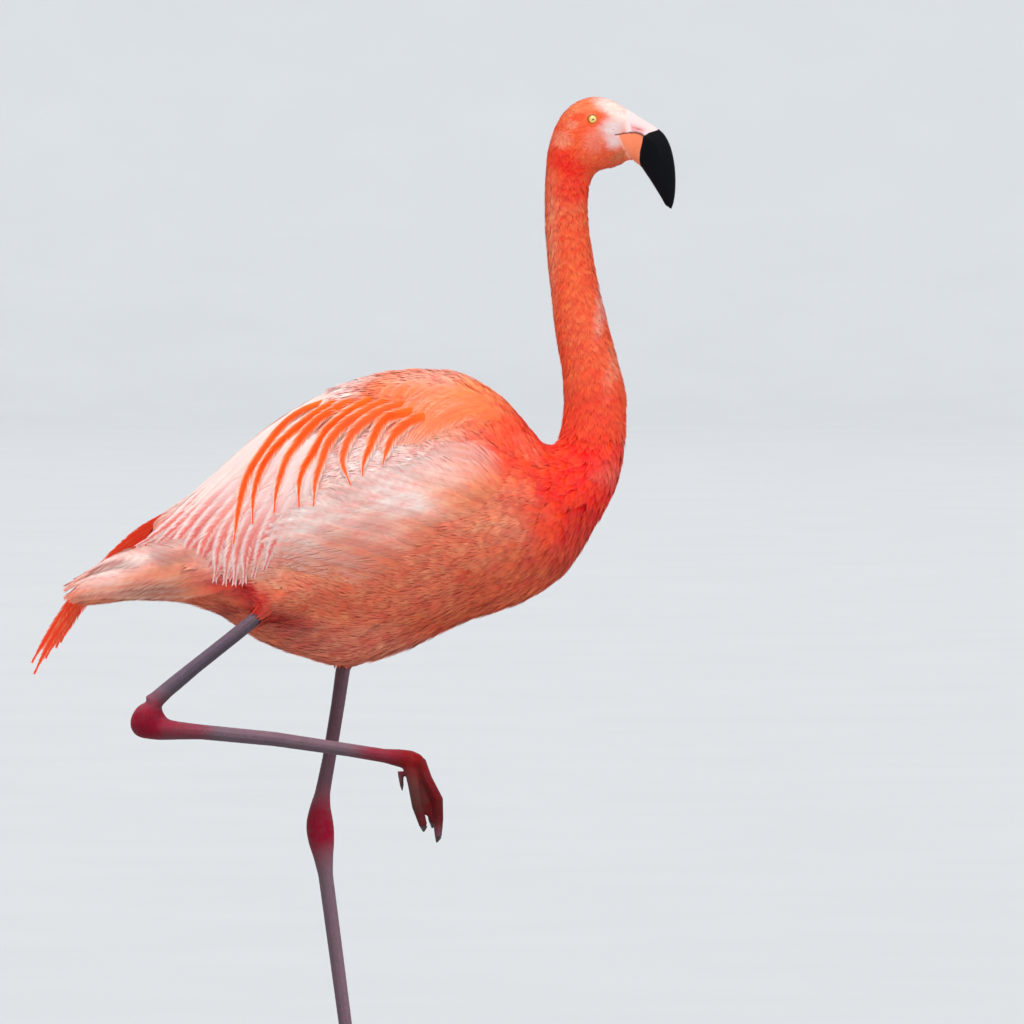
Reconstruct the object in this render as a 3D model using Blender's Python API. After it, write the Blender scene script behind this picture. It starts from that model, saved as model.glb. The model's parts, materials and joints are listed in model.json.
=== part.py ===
"""A life-size Chilean flamingo in mid-walk: the left leg stands on the floor and the right one is lifted.

Metres, +Z up. The bird faces +X and its left side is +Y. The origin is on the floor, under the middle toe of
the standing foot and the bird's centre of mass. Every form is a loft of a few ribs or stations.
"""

import math
from typing import NamedTuple

import bmesh
import bpy
from mathutils import Matrix, Vector

MM = 0.001

# Driving dimensions, in millimetres
SHANK_RADIUS = 6.2
TARSUS_RADIUS = 6.7
HOCK_RADIUS = 13.5
EYE_RADIUS = 6.0
EYE_CENTRE = (184.5, 14.6, 949.0)
HIND_TOE = 12.0
HIND_TOE_RADIUS = 3.1
CLAW_LENGTH = 6.5
WEB_THICKNESS = 2.0
WING_THICKNESS = 9.0

# Gaps between neighbouring parts
CUT = 0.4
WING_CUT = 0.7
BOOLEAN_MARGIN = 5.0  # how far a cutter stands out of the surface that it cuts


class Rib(NamedTuple):
    """A cross-section of the body, in the plane through its dorsal and ventral points and the Y axis."""

    dorsal: tuple
    ventral: tuple
    half_width: float
    widest: float = 0.5  # where it is widest, from 0 at the ventral point to 1 at the dorsal one
    side: float = 0.0  # how far it lies to the bird's left


class Station(NamedTuple):
    """A cross-section of a limb, square to its axis."""

    at: tuple
    radius: float
    flatness: float = 1.0  # the radius across the bird, as a share of the other


class WingRib(NamedTuple):
    """An upright section of a folded wing: an arc from its top edge over its widest point to its low edge."""

    x: float
    top: float
    out: float
    middle: float
    foot: float  # where the arc would end under the body
    low: float
    start: float  # how far the top edge lies from the middle of the back


TRUNK = (
    Rib((-212, 546), (-210, 482), 33, 0.5),
    Rib((-180, 588), (-178, 473), 50, 0.5),
    Rib((-140, 632), (-140, 448), 69, 0.52),
    Rib((-92, 671), (-92, 429), 86, 0.54),
    Rib((-42, 697), (-44, 421), 95, 0.55),
    Rib((12, 712), (14, 440), 98, 0.56),
    Rib((62, 705), (66, 465), 92, 0.55),
    Rib((98, 684), (115, 481), 81, 0.54),
    Rib((120, 661), (160, 511), 67, 0.5),
    Rib((134, 644.5), (187, 553), 54, 0.45),
    Rib((141.5, 635), (210, 596), 44, 0.42),
    Rib((149, 637.5), (218.5, 632), 37, 0.45),
)
NECK = (
    Rib((149, 637.5), (218.5, 632), 37, 0.45),
    Rib((154.5, 653), (219.5, 655), 33, 0.47),
    Rib((156.5, 682), (218.5, 681), 30.5),
    Rib((154, 711), (212, 711), 28.3),
    Rib((148.5, 742), (203.5, 742), 26),
    Rib((144.5, 776), (195, 776), 24),
    Rib((140.6, 811), (188, 810), 22.3),
    Rib((138.2, 846), (182.5, 844), 21),
    Rib((138, 878), (181.2, 871), 20.4),
    Rib((139.3, 904), (184, 889), 20.6),
)
NECK_LENGTHS = (("neck_lower", 0, 3), ("neck_middle", 3, 6), ("neck_upper", 6, 9))
HEAD = (
    Rib((139.3, 904), (184, 889), 20.6),
    Rib((142.5, 925), (188, 897), 21.6),
    Rib((149, 944.5), (194.5, 900), 22.3, 0.48),
    Rib((162, 962), (202, 902), 22.4, 0.46),
    Rib((180, 971.2), (208, 904), 21.4, 0.44),
    Rib((197.5, 970.6), (213, 906.5), 18.8, 0.43),
    Rib((211.5, 963.5), (217, 909), 15.2, 0.44),
    Rib((220.5, 957), (220.5, 911), 12.3, 0.45),
)
UPPER_BILL = (
    Rib((221.2, 956.6), (221.2, 936.6), 11.6, 0.3),
    Rib((233, 949), (230, 935.6), 10.2, 0.25),
    Rib((244.5, 942), (237.5, 931), 9.4, 0.25),
    Rib((252.8, 935.5), (243, 922.5), 8.9, 0.25),
    Rib((258.8, 925), (247.5, 912), 8.3, 0.25),
    Rib((262.6, 911), (251.5, 902), 7.6, 0.25),
    Rib((264.3, 896), (254.5, 891.5), 6.7, 0.3),
    Rib((264.2, 881), (257, 879), 5.4, 0.35),
    Rib((262.3, 868.5), (258.6, 867.6), 3.0, 0.4),
    Rib((260.4, 863.2), (259.2, 863.4), 0.9),
)
LOWER_BILL = (
    Rib((221.2, 936), (221.8, 911.3), 12.0, 0.6),
    Rib((229.5, 935), (226.5, 907.5), 12.0, 0.62),
    Rib((237, 930.4), (231, 904), 11.4, 0.64),
    Rib((242.4, 922), (236, 897), 10.6, 0.66),
    Rib((246.9, 911.4), (241, 889.5), 9.5, 0.66),
    Rib((250.9, 901.3), (246, 881.5), 8.0, 0.66),
    Rib((253.8, 890.8), (250.3, 874.5), 6.3, 0.62),
    Rib((256.2, 878.4), (254.2, 867.6), 4.3, 0.6),
    Rib((257.8, 866.6), (256.6, 864.2), 1.6),
)
TAIL = (
    Rib((-315, 495), (-315, 486), 19),
    Rib((-305, 506), (-308, 480.5), 29),
    Rib((-288, 520), (-288, 482), 35),
    Rib((-262, 528), (-262, 485), 38),
    Rib((-236, 538), (-235, 485), 38),
    Rib((-212.7, 545.5), (-210.7, 482.3), 33),
)
LEFT_PLUMES = (
    Rib((-238.8, 562.5), (-238.8, 541), 4.0, side=20),
    Rib((-262, 547), (-254, 534), 4.2, side=31),
    Rib((-288, 524), (-277, 511), 4.2, side=38),
    Rib((-308, 503), (-297, 493), 4.2, side=40),
    Rib((-325, 484), (-311, 473), 4.0, side=38),
    Rib((-340, 461), (-326, 452), 3.6, side=36),
    Rib((-351, 438), (-340, 432), 3.0, side=35),
    Rib((-357, 418), (-352, 414.5), 1.2, side=34),
)
WING = (
    WingRib(80, 699, 92, 590, 450, 658, 46),
    WingRib(44, 713, 101, 586, 440, 640, 30),
    WingRib(0, 713.5, 104, 580, 425, 617, 17),
    WingRib(-45, 701.5, 101, 572, 415, 594, 7),
    WingRib(-90, 682, 94, 562, 423, 560, 2.5),
    WingRib(-122, 663, 85, 548, 437, 503, 1.5),
    WingRib(-150, 641, 75, 540, 450, 499, 1.5),
    WingRib(-185, 607, 62, 532, 464, 512, 1.5),
    WingRib(-215, 580, 47, 532, 480, 525, 1.5),
    WingRib(-238, 563, 33, 539, 500, 541, 1.5),
)
RIGHT_THIGH = (
    Station((-72, -48, 528), 34),
    Station((-104, -53, 501), 29),
    Station((-124, -57.5, 484), 18),
    Station((-134, -59, 475.5), 8.6),
)
LEFT_THIGH = (
    Station((-44, 44, 505), 30),
    Station((-48, 41, 470), 26),
    Station((-52.5, 37.5, 440), 15),
    Station((-55, 35, 421), 8.6),
)
RIGHT_SHANK = (
    Station((-130.5, -58.6, 478), SHANK_RADIUS + 0.6),
    Station((-162, -57.5, 452.5), SHANK_RADIUS + 0.4),
    Station((-196, -54.5, 425.5), SHANK_RADIUS + 0.6),
    Station((-222, -51.5, 404), SHANK_RADIUS + 1.4),
    Station((-237, -50, 390), SHANK_RADIUS + 4.0),
)
RIGHT_HOCK = (-240.5, -48.8, 374.5)
RIGHT_HOCK_RADII = (19.0, 11.0, 15.5)
RIGHT_HOCK_TILT = 45  # degrees that its long axis rises to the front
RIGHT_TARSUS = (
    Station((-232, -48.5, 366), TARSUS_RADIUS + 3.6),
    Station((-214, -47.4, 364.5), TARSUS_RADIUS + 2.0),
    Station((-190, -46, 363), TARSUS_RADIUS + 0.5),
    Station((-120, -41.5, 356), TARSUS_RADIUS + 0.2),
    Station((-50, -37.6, 345.5), TARSUS_RADIUS - 0.4),
    Station((-14, -35.2, 339.5), TARSUS_RADIUS),
    Station((-0.5, -34.5, 337.5), TARSUS_RADIUS + 2.0),
)
LEFT_LEG = (
    Station((-54.4, 35.4, 425.5), SHANK_RADIUS + 1.0),
    Station((-60, 31, 386), SHANK_RADIUS + 0.4),
    Station((-68.5, 25, 334), SHANK_RADIUS + 0.3),
    Station((-75, 20.6, 300), SHANK_RADIUS + 1.0),
    Station((-76.9, 19, 288), SHANK_RADIUS + 3.4, 0.9),
    Station((-77.4, 18.4, 276), HOCK_RADIUS - 1.2, 0.8),
    Station((-77, 17.8, 265), HOCK_RADIUS - 0.4, 0.78),
    Station((-75.6, 17, 253), HOCK_RADIUS - 1.6, 0.8),
    Station((-74, 16, 241), HOCK_RADIUS - 4.0, 0.9),
    Station((-71.7, 14.5, 222), TARSUS_RADIUS + 0.4),
    Station((-61, 9, 142), TARSUS_RADIUS),
    Station((-50.4, 3.4, 62), TARSUS_RADIUS - 0.4),
    Station((-45.7, 1.1, 28), TARSUS_RADIUS),
    Station((-44.4, 0.5, 19.4), TARSUS_RADIUS + 1.0),
)
LEFT_LENGTHS = (
    ("shank_left", "leg_grey", 0, 4),
    ("hock_left", "joint_red", 4, 8),
    ("tarsus_left", "leg_grey", 8, 13),
)

# Each toe runs from inside the ball of its foot to where its claw starts
LEFT_BALL = Station((-42, 0, 9.5), 9.5)
LEFT_TOES = {
    "inner": (
        Station((-40, -1, 8.5), 6.2),
        Station((-28, -9, 4.3), 5.4),
        Station((-14, -18, 3.8), 4.9),
        Station((1, -27.5, 3.5), 4.6),
        Station((14, -35, 2.8), 3.6),
    ),
    "middle": (
        Station((-39, 0, 8.5), 6.4),
        Station((-26, 0, 4.4), 5.6),
        Station((-8, 0, 3.8), 5.0),
        Station((12, 0, 3.5), 4.7),
        Station((33, 0, 2.7), 3.6),
    ),
    "outer": (
        Station((-40, 1, 8.5), 6.2),
        Station((-28, 9, 4.3), 5.4),
        Station((-13, 18.5, 3.8), 4.9),
        Station((2, 28, 3.5), 4.6),
        Station((17, 37, 2.8), 3.6),
    ),
}
RIGHT_BALL = Station((13, -34, 334), 10.5)
RIGHT_TOES = {
    "inner": (
        Station((15, -31, 333), 6.6),
        Station((23, -26, 314), 5.4),
        Station((28.5, -23, 295), 5.0),
        Station((31.5, -22.5, 276), 3.9),
    ),
    "middle": (
        Station((18, -34, 334), 7.2),
        Station((25, -34, 317), 6.2),
        Station((35.5, -34, 297), 6.2),
        Station((36.8, -34, 279), 5.0),
        Station((36.8, -34.5, 263), 3.6),
    ),
    "outer": (
        Station((10, -37, 331), 6.6),
        Station((14, -42, 311), 6.0),
        Station((17, -45, 292), 5.4),
        Station((22.5, -46, 273.5), 4.0),
    ),
}

# How finely the solids are faceted
RINGS_PER_SPAN = 2
BODY_SIDES = 24
HEAD_SIDES = 20
NECK_SIDES = 18
BILL_SIDES = 12
LIMB_SIDES = 10
TOE_SIDES = 8
WING_STEPS = 7

MATERIALS = {
    "plumage_orange": ((0.86, 0.2, 0.07), 0.75),
    "plumage_pink": ((0.86, 0.45, 0.35), 0.8),
    "plumage_red": ((0.78, 0.05, 0.02), 0.7),
    "leg_grey": ((0.42, 0.27, 0.29), 0.55),
    "joint_red": ((0.5, 0.03, 0.08), 0.5),
    "bill_base": ((0.85, 0.45, 0.38), 0.45),
    "bill_black": ((0.012, 0.012, 0.015), 0.35),
    "eye": ((0.75, 0.58, 0.16), 0.1),
    "claw": ((0.05, 0.03, 0.03), 0.4),
}


def clear_scene():
    for obj in list(bpy.data.objects):
        bpy.data.objects.remove(obj, do_unlink=True)


def material(name):
    """The named finish, made once."""
    if name in bpy.data.materials:
        return bpy.data.materials[name]
    colour, roughness = MATERIALS[name]
    made = bpy.data.materials.new(name)
    made.use_nodes = True
    shader = made.node_tree.nodes["Principled BSDF"]
    shader.inputs["Base Color"].default_value = (*colour, 1)
    shader.inputs["Roughness"].default_value = roughness
    return made


def add_object(name, mesh, finish):
    obj = bpy.data.objects.new(name, mesh)
    bpy.context.scene.collection.objects.link(obj)
    mesh.materials.append(material(finish))
    return obj


def object_from(name, bm, finish):
    """A smooth-shaded object from a bmesh built in millimetres."""
    bmesh.ops.recalc_face_normals(bm, faces=bm.faces)
    bmesh.ops.scale(bm, vec=(MM, MM, MM), verts=bm.verts)
    bmesh.ops.triangulate(bm, faces=bm.faces)
    mesh = bpy.data.meshes.new(name)
    bm.to_mesh(mesh)
    bm.free()
    mesh.shade_smooth()
    return add_object(name, mesh, finish)


def flat_tuple(value):
    """All the numbers of a rib or station, in a row."""
    numbers = []
    for item in value:
        numbers.extend(item if isinstance(item, tuple) else (item,))
    return numbers


def smooth_rows(rows, per_span):
    """The rows and per_span - 1 more between each two, on a Catmull-Rom curve through them."""
    numbers = [Vector(flat_tuple(row)) for row in rows]
    ends = [2 * numbers[0] - numbers[1]] + numbers + [2 * numbers[-1] - numbers[-2]]
    found = []
    for before, a, b, after in zip(ends, ends[1:], ends[2:], ends[3:]):
        for step in range(per_span):
            t = step / per_span
            found.append(
                0.5
                * (
                    2 * a
                    + (b - before) * t
                    + (2 * before - 5 * a + 4 * b - after) * t**2
                    + (3 * a - before - 3 * b + after) * t**3
                )
            )
    return found + [numbers[-1]]


def rib_ring(numbers, sides):
    """The outline of one rib: two half ellipses that share the widest line."""
    dorsal_x, dorsal_z, ventral_x, ventral_z, half_width, widest, side = numbers
    dorsal = Vector((dorsal_x, side, dorsal_z))
    ventral = Vector((ventral_x, side, ventral_z))
    centre = ventral.lerp(dorsal, widest)
    ring = []
    for i in range(sides):
        turn = math.tau * i / sides
        end = dorsal if math.cos(turn) > 0 else ventral
        point = centre + (end - centre) * abs(math.cos(turn))
        point.y += half_width * math.sin(turn)
        ring.append(point)
    return ring


def station_rings(stations, sides, per_span):
    """Rings square to the limb's axis."""
    rows = smooth_rows(stations, per_span)
    centres = [Vector(row[:3]) for row in rows]
    rings = []
    for i, row in enumerate(rows):
        along = (centres[min(i + 1, len(rows) - 1)] - centres[max(i - 1, 0)]).normalized()
        across = Vector((0, 1, 0))
        if abs(along.y) > 0.7:
            across = Vector((0, 0, 1))
        across = (across - along * across.dot(along)).normalized()
        up = across.cross(along)
        rings.append(
            [
                centres[i]
                + up * row[3] * math.cos(math.tau * k / sides)
                + across * row[3] * row[4] * math.sin(math.tau * k / sides)
                for k in range(sides)
            ]
        )
    return rings


def skinned(rings):
    """A closed bmesh over rings of points, with a flat cap on each end."""
    bm = bmesh.new()
    loops = [[bm.verts.new(point) for point in ring] for ring in rings]
    for first, second in zip(loops, loops[1:]):
        for i in range(len(first)):
            j = (i + 1) % len(first)
            bm.faces.new((first[i], first[j], second[j], second[i]))
    for loop in (loops[0], loops[-1]):
        centre = bm.verts.new(sum((v.co for v in loop), Vector()) / len(loop))
        for i in range(len(loop)):
            bm.faces.new((loop[i], loop[(i + 1) % len(loop)], centre))
    return bm


def pulled_back(rings):
    """The rings, with the first one moved towards the second by the gap between two parts."""
    first, second = (sum(ring, Vector()) / len(ring) for ring in rings[:2])
    step = (second - first).normalized() * CUT
    return [[point + step for point in rings[0]]] + rings[1:]


def body_loft(name, ribs, sides, finish, part=(0, None), gap=False):
    """A piece of the body from the first to the last rib of part."""
    first, last = part
    rows = smooth_rows(ribs, RINGS_PER_SPAN)
    stop = None if last is None else last * RINGS_PER_SPAN + 1
    rings = [rib_ring(row, sides) for row in rows[first * RINGS_PER_SPAN : stop]]
    return object_from(name, skinned(pulled_back(rings) if gap else rings), finish)


def limb(name, stations, finish, sides=LIMB_SIDES, per_span=1, grow=0.0):
    """A limb's length. A cutter grows beyond it by grow, in radius and at both ends."""
    if grow:
        stations = grown_stations(stations, grow)
    return object_from(name, skinned(station_rings(stations, sides, per_span)), finish)


def grown_stations(stations, grow):
    wider = [Station(s.at, s.radius + grow, s.flatness) for s in stations]
    for end, inner in ((0, 1), (-1, -2)):
        tip, near = Vector(wider[end].at), Vector(wider[inner].at)
        further = tip + (tip - near).normalized() * grow
        wider[end] = Station(tuple(further), wider[end].radius, wider[end].flatness)
    return wider


def ellipsoid(name, centre, radii, finish, segments=12, rings=8, tilt=0):
    bm = bmesh.new()
    bmesh.ops.create_uvsphere(bm, u_segments=segments, v_segments=rings, radius=1)
    bmesh.ops.scale(bm, vec=radii, verts=bm.verts)
    bmesh.ops.rotate(bm, matrix=Matrix.Rotation(math.radians(-tilt), 3, "Y"), verts=bm.verts)
    bmesh.ops.translate(bm, vec=centre, verts=bm.verts)
    return object_from(name, bm, finish)


def apply_modifiers(obj):
    """Keeps the evaluated shape as the object's own mesh."""
    graph = bpy.context.evaluated_depsgraph_get()
    shape = bpy.data.meshes.new_from_object(obj.evaluated_get(graph))
    obj.modifiers.clear()
    obj.data = shape


def boolean(obj, other, operation, keep_other=False):
    """obj joined with, or cut by, the other object, which is then removed."""
    modifier = obj.modifiers.new(operation.lower(), "BOOLEAN")
    modifier.operation = operation
    modifier.solver = "EXACT"
    modifier.object = other
    apply_modifiers(obj)
    if not keep_other:
        bpy.data.objects.remove(other, do_unlink=True)


def wing_section(numbers, hand, grow):
    """One closed section of a wing: the outer arc down, then the inner arc up."""
    x, top, out, middle, foot, low, start = numbers
    first = math.asin(max(start - grow, 0.1) / out)
    if low > middle:
        last = math.acos((low - grow - middle) / (top - middle))
    else:
        last = math.pi / 2 + math.asin(min((middle - low + grow) / (middle - foot), 0.99))
    outer, inner = [], []
    proud = BOOLEAN_MARGIN if grow else 0.0
    for i in range(WING_STEPS + 1):
        share = i / WING_STEPS
        turn = first + (last - first) * share
        half_height = (top - middle) if turn < math.pi / 2 else (middle - foot)
        arm = Vector((0, hand * out * math.sin(turn), half_height * math.cos(turn)))
        inward = arm.normalized()
        thickness = WING_THICKNESS * (1 - 0.72 * share**2) * (1 - 0.5 * (1 - share) ** 6)
        centre = Vector((x, 0, middle))
        outer.append(centre + arm + inward * proud)
        inner.append(centre + arm - inward * (thickness + grow))
    return outer + inner[::-1]


def wing(name, hand, finish, grow=0.0):
    """A folded wing with its long scapular plumes. hand is -1 on the right and 1 on the left."""
    rows = smooth_rows(WING, 2)
    if grow:
        rows[0] = rows[0].copy()
        rows[-1] = rows[-1].copy()
        rows[0][0] += grow
        rows[-1][0] -= grow
    rings = [wing_section(row, hand, grow) for row in rows]
    return object_from(name, skinned(rings), finish)


def path_point(stations, share):
    """The centre of a limb at a share of its stations."""
    place = share * (len(stations) - 1)
    index = min(int(place), len(stations) - 2)
    return Vector(stations[index].at).lerp(Vector(stations[index + 1].at), place - index)


def web(first, second, sag):
    """The skin between two toes, hollow at its front edge. It hangs by sag half-way between the toes."""
    steps = 4
    centres = []
    for c in range(steps):
        across = c / (steps - 1)
        dip = math.sin(math.pi * across)
        line = []
        for r in range(steps):
            along = 0.12 + (0.8 - 0.2 * dip) * r / (steps - 1)
            point = path_point(first, along).lerp(path_point(second, along), across)
            line.append(point + Vector(sag) * dip * along)
        centres.append(line)
    bm = bmesh.new()
    low, high = [], []
    for c in range(steps):
        low.append([])
        high.append([])
        for r in range(steps):
            c0, c1 = max(c - 1, 0), min(c + 1, steps - 1)
            r0, r1 = max(r - 1, 0), min(r + 1, steps - 1)
            across = centres[c1][r] - centres[c0][r]
            normal = across.cross(centres[c][r1] - centres[c][r0]).normalized() * WEB_THICKNESS / 2
            low[c].append(bm.verts.new(centres[c][r] - normal))
            high[c].append(bm.verts.new(centres[c][r] + normal))
    rim = [(c, 0) for c in range(steps - 1)] + [(steps - 1, r) for r in range(steps - 1)]
    rim += [(c, steps - 1) for c in range(steps - 1, 0, -1)] + [(0, r) for r in range(steps - 1, 0, -1)]
    for (c, r), (d, q) in zip(rim, rim[1:] + rim[:1]):
        bm.faces.new((low[c][r], low[d][q], high[d][q], high[c][r]))
    for c in range(steps - 1):
        for r in range(steps - 1):
            for side in (low, high):
                bm.faces.new((side[c][r], side[c + 1][r], side[c + 1][r + 1], side[c][r + 1]))
    return object_from("web", bm, "joint_red")


def claw(name, stations, droop):
    """A short curved claw on the end of a toe."""
    end, before = Vector(stations[-1].at), Vector(stations[-2].at)
    heading = (end - before).normalized()
    radius = stations[-1].radius
    sections = (
        Station(tuple(end + heading * 2 * CUT), radius * 0.94),
        Station(tuple(end + heading * CLAW_LENGTH * 0.5 + Vector(droop) * 0.3), radius * 0.66),
        Station(tuple(end + heading * CLAW_LENGTH + Vector(droop)), radius * 0.2),
    )
    return limb(name, sections, "claw", TOE_SIDES - 2)


def foot(side, ball, toes, sag, droop):
    """Three webbed toes that share a ball, with their claws."""
    radius = ball.radius
    base = ellipsoid(f"foot_{side}", ball.at, (radius, radius, radius * 0.82), "joint_red", 14, 8)
    for label, stations in toes.items():
        boolean(base, limb("toe", stations, "joint_red", TOE_SIDES), "UNION")
        claw(f"claw_{side}_{label}", stations, droop)
    for other in ("inner", "outer"):
        boolean(base, web(toes["middle"], toes[other], sag), "UNION")



def level_off(obj):
    """Cuts away what lies under the floor, which leaves flats at one level."""
    bm = bmesh.new()
    bmesh.ops.create_cube(bm, size=400)
    bmesh.ops.translate(bm, vec=(0, 0, -200), verts=bm.verts)
    boolean(obj, object_from("floor_cutter", bm, "joint_red"), "DIFFERENCE")


def hind_toe(side, root, heading):
    """The small raised toe behind the ball, with its claw."""
    heading = Vector(heading).normalized()
    stations = [
        Station(tuple(Vector(root) + heading * HIND_TOE * share), HIND_TOE_RADIUS * (1 - 0.3 * share))
        for share in (0.0, 0.5, 1.0)
    ]
    limb(f"hind_toe_{side}", stations, "joint_red", TOE_SIDES)
    claw(f"claw_{side}_hind", stations, (0, 0, -0.6))


def make_head():
    head = body_loft("head", HEAD, HEAD_SIDES, "plumage_orange", gap=True)
    for side, hand in (("right", -1), ("left", 1)):
        x, y, z = EYE_CENTRE
        centre = (x, hand * y, z)
        ellipsoid(f"eye_{side}", centre, (EYE_RADIUS,) * 3, "eye")
        socket = ellipsoid("socket", centre, (EYE_RADIUS + CUT,) * 3, "eye")
        boolean(head, socket, "DIFFERENCE")
    body_loft("bill_upper", UPPER_BILL, BILL_SIDES, "bill_black")
    body_loft("bill_lower", LOWER_BILL, BILL_SIDES, "bill_black")


def thigh_cutter(stations):
    return limb("thigh_cutter", stations, "plumage_red", 14, 2, CUT)


def make_trunk():
    trunk = body_loft("trunk", TRUNK, BODY_SIDES, "plumage_orange")
    for side, hand in (("right", -1), ("left", 1)):
        wing(f"wing_{side}", hand, "plumage_pink")
        boolean(trunk, wing("wing_cutter", hand, "plumage_pink", WING_CUT), "DIFFERENCE")
    for side, stations in (("right", RIGHT_THIGH), ("left", LEFT_THIGH)):
        thigh = limb(f"thigh_{side}", stations, "plumage_red", sides=14, per_span=2)
        boolean(trunk, thigh_cutter(stations), "DIFFERENCE")
        cutter = wing("wing_cutter", -1 if side == "right" else 1, "plumage_pink", WING_CUT)
        boolean(thigh, cutter, "DIFFERENCE")


def make_neck():
    for name, first, last in NECK_LENGTHS:
        body_loft(name, NECK, NECK_SIDES, "plumage_orange", (first, last), gap=True)


def right_hock(name, grow):
    radii = tuple(radius + grow for radius in RIGHT_HOCK_RADII)
    return ellipsoid(name, RIGHT_HOCK, radii, "joint_red", tilt=RIGHT_HOCK_TILT)


def make_legs():
    right_hock("hock_right", 0.0)
    for name, stations in (("shank_right", RIGHT_SHANK), ("tarsus_right", RIGHT_TARSUS)):
        length = limb(name, stations, "leg_grey")
        boolean(length, right_hock("hock_cutter", CUT), "DIFFERENCE")
        if name == "shank_right":
            boolean(length, thigh_cutter(RIGHT_THIGH), "DIFFERENCE")
    rings = station_rings(LEFT_LEG, LIMB_SIDES, 1)
    for name, finish, first, last in LEFT_LENGTHS:
        length = object_from(name, skinned(pulled_back(rings[first : last + 1])), finish)
        if name == "shank_left":
            boolean(length, thigh_cutter(LEFT_THIGH), "DIFFERENCE")


def make_feet():
    foot("left", LEFT_BALL, LEFT_TOES, (0, 0, -1.5), (0, 0, -0.6))
    for name in ["foot_left"] + [f"claw_left_{label}" for label in LEFT_TOES]:
        level_off(bpy.data.objects[name])
    foot("right", RIGHT_BALL, RIGHT_TOES, (-6, 0, 0), (-1.5, 0, 0))
    hind_toe("left", (-53, 1.5, 17), (-0.85, 0.2, -0.5))
    hind_toe("right", (0.5, -33, 325), (0.1, 0.1, -1))


def main():
    clear_scene()
    make_trunk()
    make_neck()
    make_head()
    body_loft("tail", TAIL, BODY_SIDES - 8, "plumage_pink")
    body_loft("plumes_left", LEFT_PLUMES, BILL_SIDES, "plumage_red")
    make_legs()
    make_feet()


main()
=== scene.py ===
"""Looks of the flamingo: skin, feathers, bill, eyes, legs, floor, light and camera.

Design lengths are millimetres in the model's own frame: +X ahead, +Y to the bird's left, +Z up.
"""

import json
import math
from typing import NamedTuple

import bmesh
import bpy
import numpy as np
from mathutils import Matrix, Vector
from mathutils.bvhtree import BVHTree

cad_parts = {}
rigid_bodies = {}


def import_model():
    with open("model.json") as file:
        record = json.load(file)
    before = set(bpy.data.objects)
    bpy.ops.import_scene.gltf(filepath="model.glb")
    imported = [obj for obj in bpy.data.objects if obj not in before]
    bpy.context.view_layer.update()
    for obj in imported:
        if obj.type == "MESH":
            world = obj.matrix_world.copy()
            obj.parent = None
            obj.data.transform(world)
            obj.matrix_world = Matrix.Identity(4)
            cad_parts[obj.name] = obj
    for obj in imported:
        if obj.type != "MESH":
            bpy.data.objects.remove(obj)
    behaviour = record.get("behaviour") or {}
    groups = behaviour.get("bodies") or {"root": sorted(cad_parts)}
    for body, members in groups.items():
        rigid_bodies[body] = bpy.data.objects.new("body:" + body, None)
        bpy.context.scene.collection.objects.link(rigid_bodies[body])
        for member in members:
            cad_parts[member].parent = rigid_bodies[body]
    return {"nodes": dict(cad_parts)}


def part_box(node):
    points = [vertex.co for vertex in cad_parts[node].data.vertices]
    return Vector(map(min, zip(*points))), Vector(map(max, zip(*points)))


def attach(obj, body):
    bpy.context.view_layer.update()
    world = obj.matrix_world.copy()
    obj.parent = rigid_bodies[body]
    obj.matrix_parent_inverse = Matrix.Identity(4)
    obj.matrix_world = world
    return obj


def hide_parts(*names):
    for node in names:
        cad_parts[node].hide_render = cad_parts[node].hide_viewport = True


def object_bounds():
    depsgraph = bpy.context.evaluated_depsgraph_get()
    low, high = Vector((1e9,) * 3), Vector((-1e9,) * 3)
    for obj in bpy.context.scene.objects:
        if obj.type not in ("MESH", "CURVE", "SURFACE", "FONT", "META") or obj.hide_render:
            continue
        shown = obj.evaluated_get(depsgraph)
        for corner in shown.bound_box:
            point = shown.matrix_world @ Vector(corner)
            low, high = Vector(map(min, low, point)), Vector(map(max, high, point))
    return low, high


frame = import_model()
CAD_LOW, CAD_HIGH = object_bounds()

DESIGN_HEIGHT = 971.9
MM = (CAD_HIGH.z - CAD_LOW.z) / DESIGN_HEIGHT  # metres for one design millimetre

SIDES = {"left": 1, "right": -1}  # the way out of the body on each side, along Y
FLESH = ("head", "neck_upper", "neck_middle", "neck_lower", "trunk", "tail")
FLESH += tuple(f"{part}_{side}" for part in ("wing", "thigh") for side in SIDES)
LEG_PARTS = ("shank", "hock", "tarsus", "foot", "hind_toe")
BODY_VOXEL = 3.2  # the grain of the fused skin
LEG_VOXEL = 0.9
NODE_OVERLAP = 0.9  # how far the head's and neck's solids are swollen into each other to merge
BODY_OVERLAP = 5.5  # the same on the body, where it also closes the gaps under the wings' edges
EYE_CENTRE = (184.5, 14.6, 949.0)
EYE_RADIUS = 6.0
LID_RADIUS = 4.9


# Colours ------------------------------------------------------------------------------------------------


def linear(red, green, blue):
    """A display colour as linear light."""
    return tuple(c / 12.92 if c <= 0.04045 else ((c + 0.055) / 1.055) ** 2.4 for c in (red, green, blue))


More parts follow.
